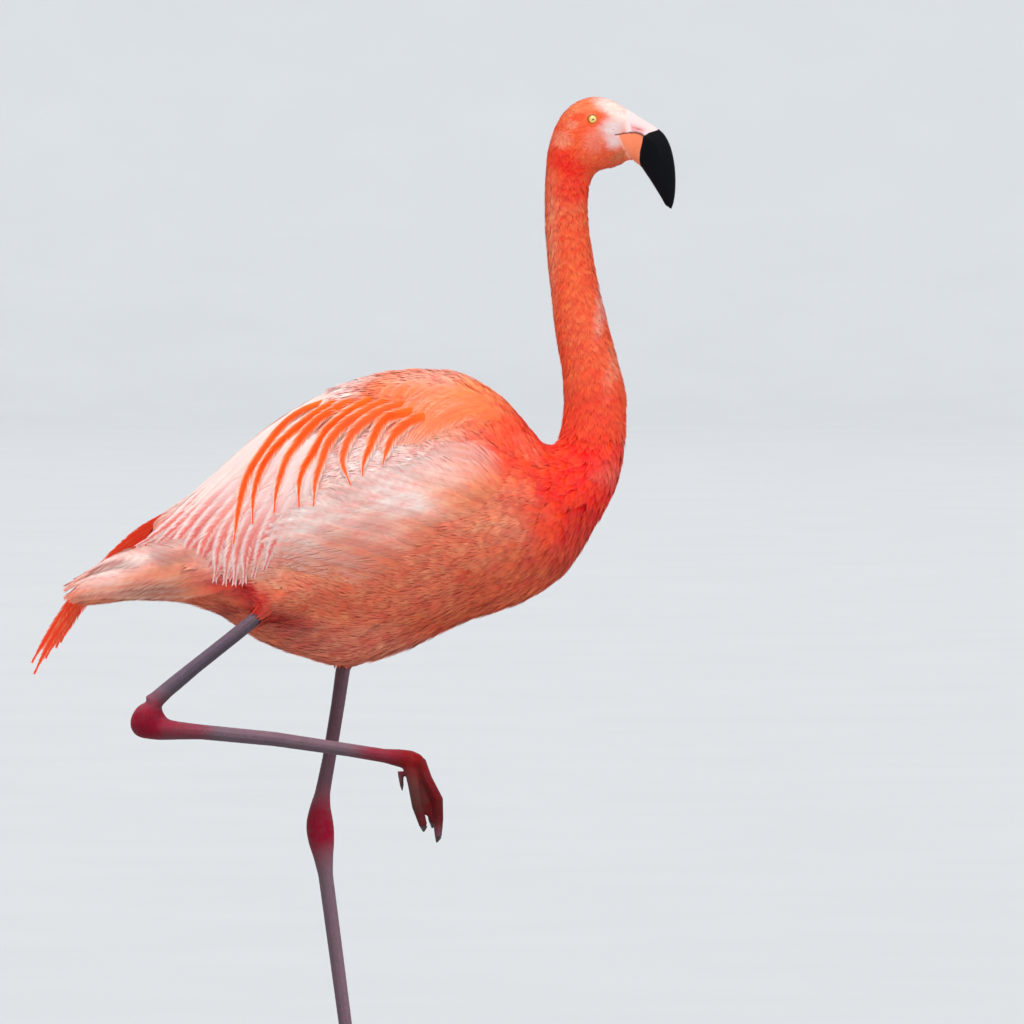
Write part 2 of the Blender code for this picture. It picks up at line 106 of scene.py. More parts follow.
CORAL = linear(1, 0.38, 0.21)
CORAL_PALE = linear(1, 0.6, 0.48)
SCARLET = linear(0.99, 0.1, 0.03)
ORANGE = linear(0.99, 0.42, 0.14)
STREAK = linear(0.99, 0.30, 0.05)
PALE_ORANGE = linear(0.99, 0.60, 0.38)
ORANGE_RED = linear(1, 0.2, 0.05)
SALMON = linear(0.9, 0.45, 0.32)
APRICOT = linear(0.97, 0.6, 0.46)
RUST = linear(0.84, 0.23, 0.1)
BLUSH = linear(0.98, 0.74, 0.68)
SHELL = linear(0.99, 0.88, 0.86)
CREAM_PINK = linear(1.0, 0.78, 0.71)
MAUVE = linear(0.8, 0.44, 0.42)
TANGERINE = linear(0.99, 0.52, 0.32)
BRICK = linear(0.97, 0.25, 0.12)
TERRACOTTA = linear(0.88, 0.35, 0.2)
PEACH = linear(0.95, 0.55, 0.45)
DUSTY = linear(0.82, 0.47, 0.38)
CHESTNUT = linear(0.84, 0.22, 0.09)
BRONZE = linear(0.60, 0.33, 0.20)
GARNET = linear(0.72, 0.28, 0.24)
FLAME = linear(0.92, 0.47, 0.33)
OXBLOOD = linear(0.74, 0.08, 0.05)
ROSE = linear(0.93, 0.42, 0.36)
ROSY_RED = linear(0.93, 0.33, 0.29)
CREAM = linear(0.99, 0.89, 0.85)
LORE = linear(0.9, 0.78, 0.77)
AMBER = linear(0.99, 0.55, 0.36)
ROSE_PALE = linear(0.96, 0.58, 0.5)
OLIVE = linear(0.74, 0.56, 0.38)
HOT_CORAL = linear(1.0, 0.5, 0.36)
HOT_RED = linear(1.0, 0.29, 0.2)
CRIMSON = linear(0.84, 0.08, 0.1)
WINE = linear(0.56, 0.06, 0.12)

BILL_BLACK = linear(0.006, 0.006, 0.03)
BILL_ORANGE = linear(0.98, 0.54, 0.38)
BILL_PALE = linear(0.98, 0.84, 0.83)
BILL_PINK = linear(0.95, 0.62, 0.64)
# The colour of the painted shade in the gape's slit.
GAPE_SHADE = linear(0.20, 0.05, 0.06)
NOSTRIL_RED = linear(0.76, 0.07, 0.09)


class Spot(NamedTuple):
    """A soft patch of plumage colour: its middle, its reach and how far it hides what is under it."""

    x: float
    z: float
    reach_x: float
    reach_z: float
    colour: tuple
    strength: float = 1.0
    turn: float = 0.0  # degrees that its long axis rises to the front


MARKINGS = (
    # Neck
    Spot(165, 930, 60, 60, CORAL),
    Spot(170, 800, 60, 110, CORAL),
    Spot(185, 690, 60, 90, CORAL, 0.9),
    Spot(190, 668, 34, 46, ORANGE_RED, 0.6),
    Spot(166, 884, 24, 14, SCARLET, 0.7),
    Spot(196, 830, 10, 46, CORAL_PALE, 0.5, -6),
    Spot(207, 730, 8, 46, CORAL_PALE, 0.5, -14),
    Spot(194, 780, 7, 40, BLUSH, 0.5, -9),
    Spot(145, 820, 8, 80, CORAL_PALE, 0.4),
    # Breast
    Spot(125, 580, 80, 85, BRICK, 0.9),
    Spot(180, 600, 62, 62, SCARLET, 0.95),
    Spot(140, 510, 50, 36, RUST, 0.85),
    Spot(110, 560, 30, 42, CHESTNUT, 0.7),
    Spot(176, 560, 22, 30, OXBLOOD, 0.45),
    Spot(213, 608, 14, 34, ROSE, 0.55, 70),
    Spot(126, 632, 22, 9, CORAL_PALE, 0.6, -45),
    # Flank
    Spot(58, 570, 72, 80, APRICOT, 0.9),
    Spot(-40, 568, 96, 50, CREAM_PINK, 0.85),
    Spot(-85, 574, 56, 26, SHELL, 0.7),
    Spot(0, 584, 38, 19, SHELL, 0.75, -10),
    Spot(-58, 532, 70, 27, DUSTY, 0.7),
    Spot(50, 540, 64, 34, FLAME, 0.85, -8),
    Spot(36, 496, 120, 42, SALMON, 0.85),
    Spot(-84, 510, 40, 20, APRICOT, 0.7),
    Spot(105, 500, 52, 44, TERRACOTTA, 0.8),
    Spot(60, 466, 84, 22, TERRACOTTA, 0.75, 12),
    Spot(-40, 448, 84, 22, PEACH, 0.8),
    Spot(-26, 563, 20, 10, MAUVE, 0.5),
    # Shoulder and mantle
    Spot(112, 640, 52, 44, ORANGE_RED, 0.6),
    Spot(60, 690, 84, 40, TANGERINE, 0.95),
    Spot(36, 701, 44, 10, BLUSH, 0.55),
    Spot(14, 682, 24, 8, ORANGE_RED, 0.3),
    Spot(52, 624, 38, 26, BLUSH, 0.75),
    Spot(78, 588, 26, 20, FLAME, 0.7),
    Spot(-20, 620, 66, 40, SHELL, 0.85),
    Spot(-56, 692, 50, 13, SHELL, 0.8, 20),
    # Rear
    Spot(-150, 590, 85, 76, SHELL, 0.95, 35),
    Spot(-160, 500, 46, 13, ROSY_RED, 0.95, -19),
    Spot(-146, 504, 20, 9, CRIMSON, 0.85, -19),
    Spot(-134, 489, 22, 14, CRIMSON, 0.75),
    Spot(-164, 473, 16, 9, WINE, 0.55, 20),
    Spot(-100, 466, 44, 18, GARNET, 0.75, -25),
    # Painted shadow: a dark spot where the leg leaves the body, on both sides.
    Spot(-113, 471, 26, 8, OXBLOOD, 0.75, -16),
    # Tail
    Spot(-250, 505, 66, 30, APRICOT, 0.9, 8),
    Spot(-262, 525, 60, 15, SHELL, 0.9, 22),
    Spot(-234, 496, 40, 10, BRONZE, 0.75),
    # Head
    Spot(175, 961, 26, 13, AMBER, 0.8, 22),
    Spot(157, 910, 17, 15, SCARLET, 0.85, -40),
    Spot(170, 900, 17, 9, SCARLET, 0.7, 8),
    Spot(187, 929, 12, 13, ROSE_PALE, 0.6),
    Spot(172, 951, 9, 5, ORANGE_RED, 0.6, 20),
    Spot(166, 944, 7, 5, CORAL_PALE, 0.6),
    Spot(156, 931, 11, 9, CORAL_PALE, 0.7),
    Spot(200, 963, 16, 9, CREAM, 0.9, -22),
    Spot(211, 955, 18, 11, CREAM, 0.95, -35),
    Spot(204, 941, 14, 10, LORE, 1.0, 10),
    Spot(205, 929, 9, 9, LORE, 0.9, -35),
    Spot(211, 915, 11, 5, OLIVE, 0.35, 35),
)


FACE_HEIGHTS = (885, 905)  # over which the plumage turns into the calmer one of the head


def smoothstep(low, high, value):
    """0 below low, 1 above high, with a smooth rise between them."""
    share = np.clip((value - low) / (high - low), 0, 1)
    return share * share * (3 - 2 * share)


def bell(value, middle, width):
    """1 where the value is at the middle, falling off over the width on both sides."""
    return np.exp(-(((value - middle) / width) ** 2))


def wander(points, size, reach, seed):
    """A smooth wavering of places, about size millimetres across and reach strong."""
    rng = np.random.default_rng(seed)
    shift = np.zeros((len(points), 2))
    for _ in range(6):
        way = rng.normal(size=3)
        way *= math.tau / (size * rng.uniform(0.6, 1.8)) / np.linalg.norm(way)
        phase = rng.uniform(0, math.tau)
        shift += np.sin(points @ way + phase)[:, None] * rng.normal(size=2) * reach / 2.4
    return shift


def mixed(first, second, share):
    """share of the way from the first colour to the second."""
    return first * (1 - share) + np.array(second) * share


def painted(points, base, spots):
    """The colour at points in millimetres of soft spots laid over a base colour, one after another."""
    small = wander(points, size=7, reach=1.2, seed=1)
    large = wander(points, size=30, reach=5.0, seed=2)
    calm = 1 - 0.6 * smoothstep(*FACE_HEIGHTS, points[:, 2:])
    colour = np.tile(np.array(base), (len(points), 1))
    for spot in spots:
        size = min(spot.reach_x, spot.reach_z)
        shift = (small * min(size / 12, 1.5) + large * min(size / 60, 1.0)) * calm
        x, z = points[:, 0] + shift[:, 0], points[:, 2] + shift[:, 1]
        turn = math.radians(spot.turn)
        along = (x - spot.x) * math.cos(turn) + (z - spot.z) * math.sin(turn)
        up = (z - spot.z) * math.cos(turn) - (x - spot.x) * math.sin(turn)
        distance = np.sqrt((along / spot.reach_x) ** 2 + (up / spot.reach_z) ** 2)
        cover = (spot.strength * (1 - smoothstep(0.30, 1.35, distance)))[:, None]
        colour = mixed(colour, spot.colour, cover)
    return colour


def plumage(points):
    """The plumage colour at points in millimetres, the same on both sides of the bird."""
    colour = painted(points, SALMON, MARKINGS)
    calm = 1 - 0.75 * smoothstep(*FACE_HEIGHTS, points[:, 2:])
    tone = wander(points * (1, 1, 1.6), size=15, reach=1.0, seed=5)
    fine = wander(points, size=5, reach=1.0, seed=6)
    tone, fine = (np.clip(shift, -1.5, 1.5) * calm for shift in (tone, fine))
    # The underside before the legs is painted darker and redder: partly its deeper colour, partly painted
    # shade.
    deep_and_shaded = (1 - smoothstep(450, 560, points[:, 2:])) * smoothstep(-170, -110, points[:, :1])
    colour = colour * (1 - deep_and_shaded * (0.06, 0.14, 0.20))
    colour = colour * (1 + 0.05 * tone[:, :1] + 0.04 * fine[:, :1])
    colour[:, 1:] *= 1 + 0.16 * tone[:, 1:] + 0.12 * fine[:, 1:]
    return np.clip(colour, 0, 1)


# Mesh tools ---------------------------------------------------------------------------------------------


def add_object(name, data):
    obj = bpy.data.objects.new(name, data)
    bpy.context.scene.collection.objects.link(obj)
    return obj


def finished(obj, finish, slot, *nodes):
    """obj as a piece of the bird: its finish and the solids that it stands for. The material slot's name is
    not used.
    """
    obj.data.materials.clear()
    obj.data.materials.append(finish)
    if not obj.data.has_custom_normals:
        obj.data.shade_smooth()
    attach(obj, "root")
    if nodes:
        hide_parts(*nodes)
    return obj


def evaluated(obj):
    """A mesh of obj as its modifiers make it."""
    graph = bpy.context.evaluated_depsgraph_get()
    return bpy.data.meshes.new_from_object(obj.evaluated_get(graph))


def applied(obj):
    """obj with its modifiers kept as its own mesh."""
    shape = evaluated(obj)
    obj.modifiers.clear()
    old = obj.data
    obj.data = shape
    bpy.data.meshes.remove(old)
    return obj


def places(mesh):
    """The vertices' places in design millimetres."""
    found = np.empty(len(mesh.vertices) * 3)
    mesh.vertices.foreach_get("co", found)
    return found.reshape(-1, 3) / MM


def set_places(mesh, points):
    mesh.vertices.foreach_set("co", (points * MM).ravel())
    mesh.update()


def normals(mesh):
    found = np.empty(len(mesh.vertices) * 3)
    mesh.vertex_normals.foreach_get("vector", found)
    return found.reshape(-1, 3)


def unit(vectors):
    return vectors / np.maximum(np.linalg.norm(vectors, axis=1, keepdims=True), 1e-9)


def store(mesh, name, kind, values, domain="POINT"):
    """Keeps values as a named attribute."""
    attribute = mesh.attributes.new(name, kind, domain)
    key = {"FLOAT": "value", "INT": "value", "FLOAT_COLOR": "color"}.get(kind, "vector")
    if kind == "FLOAT_COLOR":
        values = np.concatenate([values, np.ones((len(values), 1))], axis=1)
    attribute.data.foreach_set(key, np.ascontiguousarray(values).ravel())


def stored(mesh, name, width=3):
    """A named attribute's values."""
    data = mesh.attributes[name].data
    found = np.empty(len(data) * width)
    data.foreach_get("value" if width == 1 else "vector", found)
    return found if width == 1 else found.reshape(-1, width)


def beside_line(points, line):
    """Where each point lies by a line in the side view: how far along it, to its left and off it."""
    knots = np.array(line, float)
    flat = points[:, [0, 2]]
    reach, left = np.zeros((2, len(points)))
    best = np.full(len(points), np.inf)
    start = 0.0
    for first, second in zip(knots, knots[1:]):
        span = second - first
        length = np.linalg.norm(span)
        share = np.clip((flat - first) @ span / length**2, 0, 1)
        offset = flat - first - share[:, None] * span
        distance = np.linalg.norm(offset, axis=1)
        nearer = distance < best
        reach[nearer] = start + share[nearer] * length
        left[nearer] = offset[nearer] @ np.array((-span[1], span[0])) / length
        best = np.minimum(best, distance)
        start += length
    return reach, left, best


def from_line(points, line):
    """Each point's distance from a line in the side view, above 0 on the line's left."""
    _, left, distance = beside_line(points, line)
    return np.where(left < 0, -1, 1) * distance


def gathered(name, nodes, swell):
    """One object of copies of the nodes, swollen by swell(points) so that they run into each other."""
    whole = bmesh.new()
    for node in nodes:
        single = bmesh.new()
        single.from_mesh(frame["nodes"][node].data)
        bmesh.ops.remove_doubles(single, verts=single.verts, dist=0.01 * MM)
        single.normal_update()
        amounts = swell(np.array([v.co for v in single.verts]) / MM) * MM
        moves = [v.normal * amount for v, amount in zip(single.verts, amounts)]
        for vertex, move in zip(single.verts, moves):
            vertex.co += move
        mesh = bpy.data.meshes.new(node)
        single.to_mesh(mesh)
        single.free()
        whole.from_mesh(mesh)
        bpy.data.meshes.remove(mesh)
    mesh = bpy.data.meshes.new(name)
    whole.to_mesh(mesh)
    whole.free()
    return add_object(name, mesh)


def fused(obj, voxel, smoothing):
    """obj as one even closed surface."""
    remesh = obj.modifiers.new("fuse", "REMESH")
    remesh.mode = "VOXEL"
    remesh.voxel_size = voxel * MM
    smooth = obj.modifiers.new("smooth", "SMOOTH")
    smooth.factor = 0.5
    smooth.iterations = smoothing
    return applied(obj)


def edge_pairs(mesh):
    pairs = np.empty(len(mesh.edges) * 2, int)
    mesh.edges.foreach_get("vertices", pairs)
    return pairs.reshape(-1, 2)


def relaxed(points, pairs, share, rounds):
    """points moved towards the mean of their neighbours, share giving how far for each."""
    count = np.maximum(np.bincount(pairs.ravel(), minlength=len(points)), 1)[:, None]
    share = np.broadcast_to(share, (len(points),))[:, None]
    for _ in range(rounds):
        total = np.zeros_like(points)
        np.add.at(total, pairs[:, 0], points[pairs[:, 1]])
        np.add.at(total, pairs[:, 1], points[pairs[:, 0]])
        points = points + (total / count - points) * share
    return points


def refined(obj, inside):
    """obj with the edges subdivided once where inside says so."""
    bm = bmesh.new()
    bm.from_mesh(obj.data)
    keep = inside(np.array([v.co for v in bm.verts]) / MM)
    edges = [e for e in bm.edges if keep[e.verts[0].index] and keep[e.verts[1].index]]
    bmesh.ops.subdivide_edges(bm, edges=edges, cuts=1, use_grid_fill=True, smooth=0.6)
    bmesh.ops.triangulate(bm, faces=[f for f in bm.faces if len(f.verts) > 4])
    bm.to_mesh(obj.data)
    bm.free()


# The body's long axis and the lie of the feathers --------------------------------------------------------

SPINE = ((226, 934), (190, 938), (163, 915), (160, 880), (163, 811), (175, 742), (186, 690), (187, 655))
SPINE += ((180, 618), (150, 590), (100, 580), (0, 575), (-100, 550), (-180, 530), (-260, 510), (-317, 491))


def along_spine(points):
    """How far along the spine each point is, and its turn round the spine from -pi to pi."""
    reach, left, _ = beside_line(points, SPINE)
    return reach, np.arctan2(points[:, 1], left)


class Guide(NamedTuple):
    """The way the feathers lie near a place, as degrees from straight ahead, and their length."""

    x: float
    z: float
    angle: float
    length: float


LIE = (
    # Head
    Guide(222, 948, 160, 2.2),
    Guide(215, 950, 160, 2.4),
    Guide(187, 965, 180, 3.6),
    Guide(150, 945, 235, 5.0),
    Guide(142, 915, 262, 6.5),
    Guide(190, 940, 185, 2.6),
    Guide(175, 915, 230, 5.0),
    Guide(200, 908, 190, 4.0),
    # Neck
    Guide(160, 880, 270, 8.0),
    Guide(165, 800, 273, 9.0),
    Guide(175, 742, 279, 11.0),
    Guide(186, 690, 280, 13.0),
    Guide(188, 655, 268, 15.0),
    # Breast
    Guide(205, 620, 255, 17.0),
    Guide(200, 585, 240, 20.0),
    Guide(180, 550, 230, 21.0),
    Guide(165, 595, 222, 18.0),
    Guide(150, 520, 215, 22.0),
    Guide(120, 600, 195, 20.0),
    Guide(110, 555, 192, 22.0),
    Guide(100, 490, 192, 24.0),
    # Flank and belly
    Guide(60, 600, 172, 26.0),
    Guide(50, 550, 172, 26.0),
    Guide(40, 455, 182, 24.0),
    Guide(-40, 440, 175, 24.0),
    Guide(0, 510, 172, 28.0),
    Guide(-50, 500, 165, 28.0),
    Guide(-90, 530, 158, 26.0),
    Guide(-120, 460, 170, 22.0),
    Guide(-170, 490, 176, 22.0),
    # Tail
    Guide(-230, 515, 184, 24.0),
    Guide(-285, 500, 198, 26.0),
    # Back
    Guide(130, 650, 142, 15.0),
    Guide(100, 680, 150, 18.0),
    Guide(55, 700, 172, 22.0),
    Guide(60, 655, 170, 24.0),
    Guide(0, 700, 192, 26.0),
    Guide(-60, 670, 215, 28.0),
    Guide(-120, 630, 228, 28.0),
    Guide(-180, 580, 222, 28.0),
    Guide(-130, 560, 255, 24.0),
)


def guided(points):
    """The lie, as flat directions in the side view, and the length of the feathers at points."""
    total = np.zeros(len(points))
    lie = np.zeros((len(points), 3))
    length = np.zeros(len(points))
    for guide in LIE:
        gap = (points[:, 0] - guide.x) ** 2 + (points[:, 2] - guide.z) ** 2 + 9.0
        weight = gap**-1.7
        turn = math.radians(guide.angle)
        lie += weight[:, None] * np.array((math.cos(turn), 0.0, math.sin(turn)))
        length += weight * guide.length
        total += weight
    return lie / total[:, None], length / total


THIGH_ENDS = ((-131, -58.7, 478), (-54.8, 35.4, 424))


def by_thighs(points, reach):
    """1 at a thigh's end, falling off over reach."""
    gaps = [np.linalg.norm(points - np.array(place), axis=1) for place in THIGH_ENDS]
    return bell(np.min(gaps, axis=0), 0, reach)


def coat_depth(points):
    """How deep the skin lies under the true outline at points."""
    reach, _ = along_spine(points)
    marks = (0, 12, 40, 90, 150, 330, 400, 480, 700, 900)
    depths = (0.0, 0.3, 1.3, 1.9, 2.4, 3.4, 4.6, 5.5, 5.5, 5.0)
    depth = np.interp(reach, marks, depths)
    depth = depth * (1 - 0.85 * by_thighs(points, 24))
    thin = (1 - smoothstep(-222, -186, points[:, 0])) * smoothstep(522, 536, points[:, 2])
    return depth * (1 - 0.7 * thin)


# Skin ---------------------------------------------------------------------------------------------------

BILL_ROOT = 222.0
CORE_END = 229.0  # where the skin ends inside the bill
HEAD_MIDDLE = (184, 0, 935)
HEAD_REACHES = (62, 56)  # of the skin round it that is made finer once, and then twice
EYE_REACH = 10  # of the skin that is made finer still
SOCKET_RING = (8.5, 13.0)  # the skin round an eye that gives the shape over its socket


def eye_relief(points, side):
    """points with the socket on one side filled and an eyelid's ring round the eye's place."""
    x, y, z = points.T
    across = np.hypot(x - EYE_CENTRE[0], z - EYE_CENTRE[2])
    facing = y * side > 4
    ring = facing & (across > SOCKET_RING[0]) & (across < SOCKET_RING[1])
    local = np.stack([x - EYE_CENTRE[0], z - EYE_CENTRE[2]])

    def terms(chosen):
        u, v = local[:, chosen]
        return np.stack([np.ones_like(u), u, v, u * u, u * v, v * v], axis=1)

    fit, *_ = np.linalg.lstsq(terms(ring), y[ring] * side, rcond=None)
    near = facing & (across < SOCKET_RING[1])
    r = across[near]
    smooth = terms(near) @ fit
    blend = 1 - smoothstep(8.0, 12.0, r)
    height = y[near] * side * (1 - blend) + smooth * blend
    height += 0.75 * bell(r, LID_RADIUS + 0.5, 0.75)
    height -= 0.3 * bell(r, LID_RADIUS + 2.4, 0.8)
    height -= 5.0 * (1 - smoothstep(LID_RADIUS - 1.6, LID_RADIUS + 0.1, r))
    points[near, 1] = height * side
    return points


def body_swell(points):
    """How far the solids are swollen before they merge into the skin."""
    return NODE_OVERLAP + (BODY_OVERLAP - NODE_OVERLAP) * (1 - smoothstep(660, 740, points[:, 2]))


GAPE = ((206.5, 934.2), (213, 935.2), (221, 936.4), (226, 936.6), (231, 935.2), (235, 932.4), (238, 929))
MANDIBLE_ROOT = ((208.5, 934.6), (211.0, 929.5), (214.0, 923.5), (217.6, 916.5), (222.5, 909.5))


def paint_face(points, colour):
    """The bare face: painted shade along the gape's slit, and the lower bill's orange root with its pale
    border.
    """
    side = (np.abs(points[:, 1]) > 5)[:, None]
    near = ((points[:, 0] > 204) & (points[:, 2] > 905) & (points[:, 2] < 945))[:, None] & side
    root = from_line(points, MANDIBLE_ROOT)
    below = smoothstep(-0.3, 0.5, -from_line(points, GAPE))
    orange = (smoothstep(0.2, 1.4, root) * below)[:, None] * near
    colour = mixed(colour, BILL_ORANGE, orange)
    border = (bell(root, -0.4, 1.1) * below)[:, None] * near * 0.6
    colour = mixed(colour, BLUSH, border)
    over = (smoothstep(214, 219, points[:, 0]) * (1 - below))[:, None] * (points[:, 2] > 930)[:, None]
    colour = mixed(colour, BILL_PALE, over)
    # Painted shade in the gape's slit.
    slit_shade = bell(from_line(points, GAPE), 0, 0.55)[:, None] * near
    return mixed(colour, GAPE_SHADE, slit_shade)


def horny(points):
    """1 where the face is the bill's own smooth horn and 0 on the skin."""
    side = np.abs(points[:, 1]) > 3
    below = from_line(points, GAPE) < 0
    root = smoothstep(0.0, 1.5, from_line(points, MANDIBLE_ROOT))
    top = smoothstep(213, 218, points[:, 0])
    return np.where(below & side, root, top)


def face_relief(points, up):
    """The folds of the bare face: the gape, the border of the lower bill and wrinkles before the eye."""
    side = np.abs(points[:, 1]) > 5
    near = side & (points[:, 0] > 196) & (points[:, 2] > 905) & (points[:, 2] < 955)
    gape = from_line(points, GAPE)
    root = from_line(points, MANDIBLE_ROOT)
    below = smoothstep(-0.3, 0.5, -gape)
    fold = 0.25 * bell(gape, 1.4, 0.8) - 0.9 * bell(gape, 0, 0.6)
    fold += below * (0.35 * bell(root, -0.4, 0.8) - 0.3 * bell(root, 1.0, 0.6))
    x, z = points[:, 0], points[:, 2]
    waver = wander(points, size=9, reach=1.6, seed=8)
    lore = np.exp(-((((x - 205) / 9) ** 2 + ((z - 940) / 8) ** 2) ** 1.5))
    fold += 0.16 * lore * np.sin((0.55 * (x - 205) + 1.1 * (z - 940) + waver[:, 0]) * 1.5)
    fold += 0.10 * lore * np.sin((0.9 * (x - 205) - 0.5 * (z - 940) + waver[:, 1]) * 2.1)
    return points + up * (fold * near)[:, None]


def cut_before_bill(skin):
    """Takes the bill off the skin and closes it there, inside the bill's root."""
    bm = bmesh.new()
    bm.from_mesh(skin.data)
    geometry = bm.verts[:] + bm.edges[:] + bm.faces[:]
    cut = bmesh.ops.bisect_plane(
        bm, geom=geometry, plane_co=(CORE_END * MM, 0, 0), plane_no=(1, 0, 0), clear_outer=True
    )
    rim = [e for e in cut["geom_cut"] if isinstance(e, bmesh.types.BMEdge)]
    bmesh.ops.contextual_create(bm, geom=rim)
    bm.to_mesh(skin.data)
    bm.free()


def refine_head(skin):
    """Subdivides the head's skin twice, and that round the eyes once more."""
    for reach in HEAD_REACHES:
        refined(skin, lambda p: np.linalg.norm(p - np.array(HEAD_MIDDLE), axis=1) < reach)
    eye = np.array(EYE_CENTRE)[[0, 2]]
    for side in (-1, 1):
        refined(
            skin,
            lambda p: (np.linalg.norm(p[:, [0, 2]] - eye, axis=1) < EYE_REACH) & (p[:, 1] * side >= 5),
        )


def make_skin():
    """The skin of the whole body, inside the outline by the coat's depth."""
    skin = fused(gathered("skin", FLESH + ("bill_upper", "bill_lower"), body_swell), BODY_VOXEL, smoothing=10)
    cut_before_bill(skin)
    refine_head(skin)
    mesh = skin.data
    points = places(mesh)
    on_head = smoothstep(870, 895, points[:, 2]) * (1 - smoothstep(CORE_END - 6, CORE_END - 3, points[:, 0]))
    points = relaxed(points, edge_pairs(mesh), 0.5 * on_head, rounds=6)
    at_rear = 1 - smoothstep(-190, -150, points[:, 0])
    points = relaxed(points, edge_pairs(mesh), 0.5 * at_rear, rounds=8)
    set_places(mesh, points)
    up = normals(mesh)
    hidden = smoothstep(BILL_ROOT - 0.5, BILL_ROOT + 3.5, points[:, 0]) * 2.6
    points -= up * (coat_depth(points) + body_swell(points) + hidden - 0.6)[:, None]
    for side in (-1, 1):
        points = eye_relief(points, side)
    points = face_relief(points, up)
    set_places(mesh, points)
    return skin


def lay_out(skin):
    """Stores on the skin the way up, the lie, the size of the feathers and where each coat grows."""
    mesh = skin.data
    points = places(mesh)
    up = unit(relaxed(normals(mesh), edge_pairs(mesh), 0.6, rounds=3))
    lie, length = guided(points)
    length = length * (1 - 0.55 * by_thighs(points, 26))
    lie[:, 1] = 0.25 * np.sign(points[:, 1]) * (points[:, 2] < 560) * np.abs(up[:, 1])
    along = lie - up * np.sum(lie * up, axis=1, keepdims=True)
    weak = np.linalg.norm(along, axis=1) < 0.25
    down = np.array((0.0, 0.0, -1.0))
    along[weak] += 0.6 * (down - up * (up @ down)[:, None])[weak]
    store(mesh, "up", "FLOAT_VECTOR", up)
    store(mesh, "lie", "FLOAT_VECTOR", unit(along))
    store(mesh, "length", "FLOAT", length * MM)
    store(mesh, "tint", "FLOAT_COLOR", paint_face(points, plumage(points)))
    store(mesh, "horn", "FLOAT", horny(points))
    store(mesh, "coat", "INT", coat_of(mesh), "FACE")


COATS = ("bare", "head", "neck", "breast", "mantle", "flank_right", "flank_left", "rump", "tail")


def is_bare(p):
    """True where the skin has no feathers: on the lores, round the eyes and at the bill."""
    x, y, z = p.T
    eye = np.hypot(x - EYE_CENTRE[0], z - EYE_CENTRE[2])
    lores = (x > 197 + 0.10 * np.abs(z - 940)) & (z < 951) & (z > 924 - (x - 200) * 0.2) & (np.abs(y) > 6)
    return lores | (x > 217) | ((eye < LID_RADIUS + 2.0) & (np.abs(y) > 4))


def coat_of(mesh):
    """The number of the coat that grows on each face."""
    centres = np.empty(len(mesh.polygons) * 3)
    mesh.polygons.foreach_get("center", centres)
    p = centres.reshape(-1, 3) / MM
    x, y, z = p.T
    rng = np.random.default_rng(5)
    jitter = rng.normal(0, 2.5, len(p))
    coat = np.full(len(p), COATS.index("flank_right"))
    coat[y > 0] = COATS.index("flank_left")
    coat[(z + 0.35 * x > 655 + jitter)] = COATS.index("mantle")
    coat[(x < -50 + jitter) & (z > 545 + 0.15 * (x + 100) + jitter)] = COATS.index("rump")
    coat[x > 98 + jitter] = COATS.index("breast")
    coat[(z > 652 + jitter) & (x > 135)] = COATS.index("neck")
    coat[z > 888 + jitter * 0.5] = COATS.index("head")
    coat[(x < -205 + jitter) & (z < 532)] = COATS.index("tail")
    coat[is_bare(p)] = COATS.index("bare")
    return coat


# Node trees ---------------------------------------------------------------------------------------------


def arithmetic(operation, reflected=False):
    """A method of Wire that sets a Math node."""

    def apply(self, other):
        pair = (other, self) if reflected else (self, other)
        return self.tree.node("ShaderNodeMath", {"operation": operation}, dict(enumerate(pair)))

    return apply


class Wire:
    """An output of a node, with the arithmetic that finishes are written in."""

    def __init__(self, tree, socket):
        self.tree = tree
        self.socket = socket

    __add__ = arithmetic("ADD")
    __radd__ = arithmetic("ADD", True)
    __sub__ = arithmetic("SUBTRACT")
    __rsub__ = arithmetic("SUBTRACT", True)
    __mul__ = arithmetic("MULTIPLY")
    __rmul__ = arithmetic("MULTIPLY", True)
    __truediv__ = arithmetic("DIVIDE")
    __rtruediv__ = arithmetic("DIVIDE", True)

    def step(self, low, high):
        """0 below low and 1 above high, with a smooth rise between them."""
        return self.tree.node(
            "ShaderNodeMapRange",
            {"interpolation_type": "SMOOTHSTEP"},
            {"Value": self, "From Min": low, "From Max": high},
        )


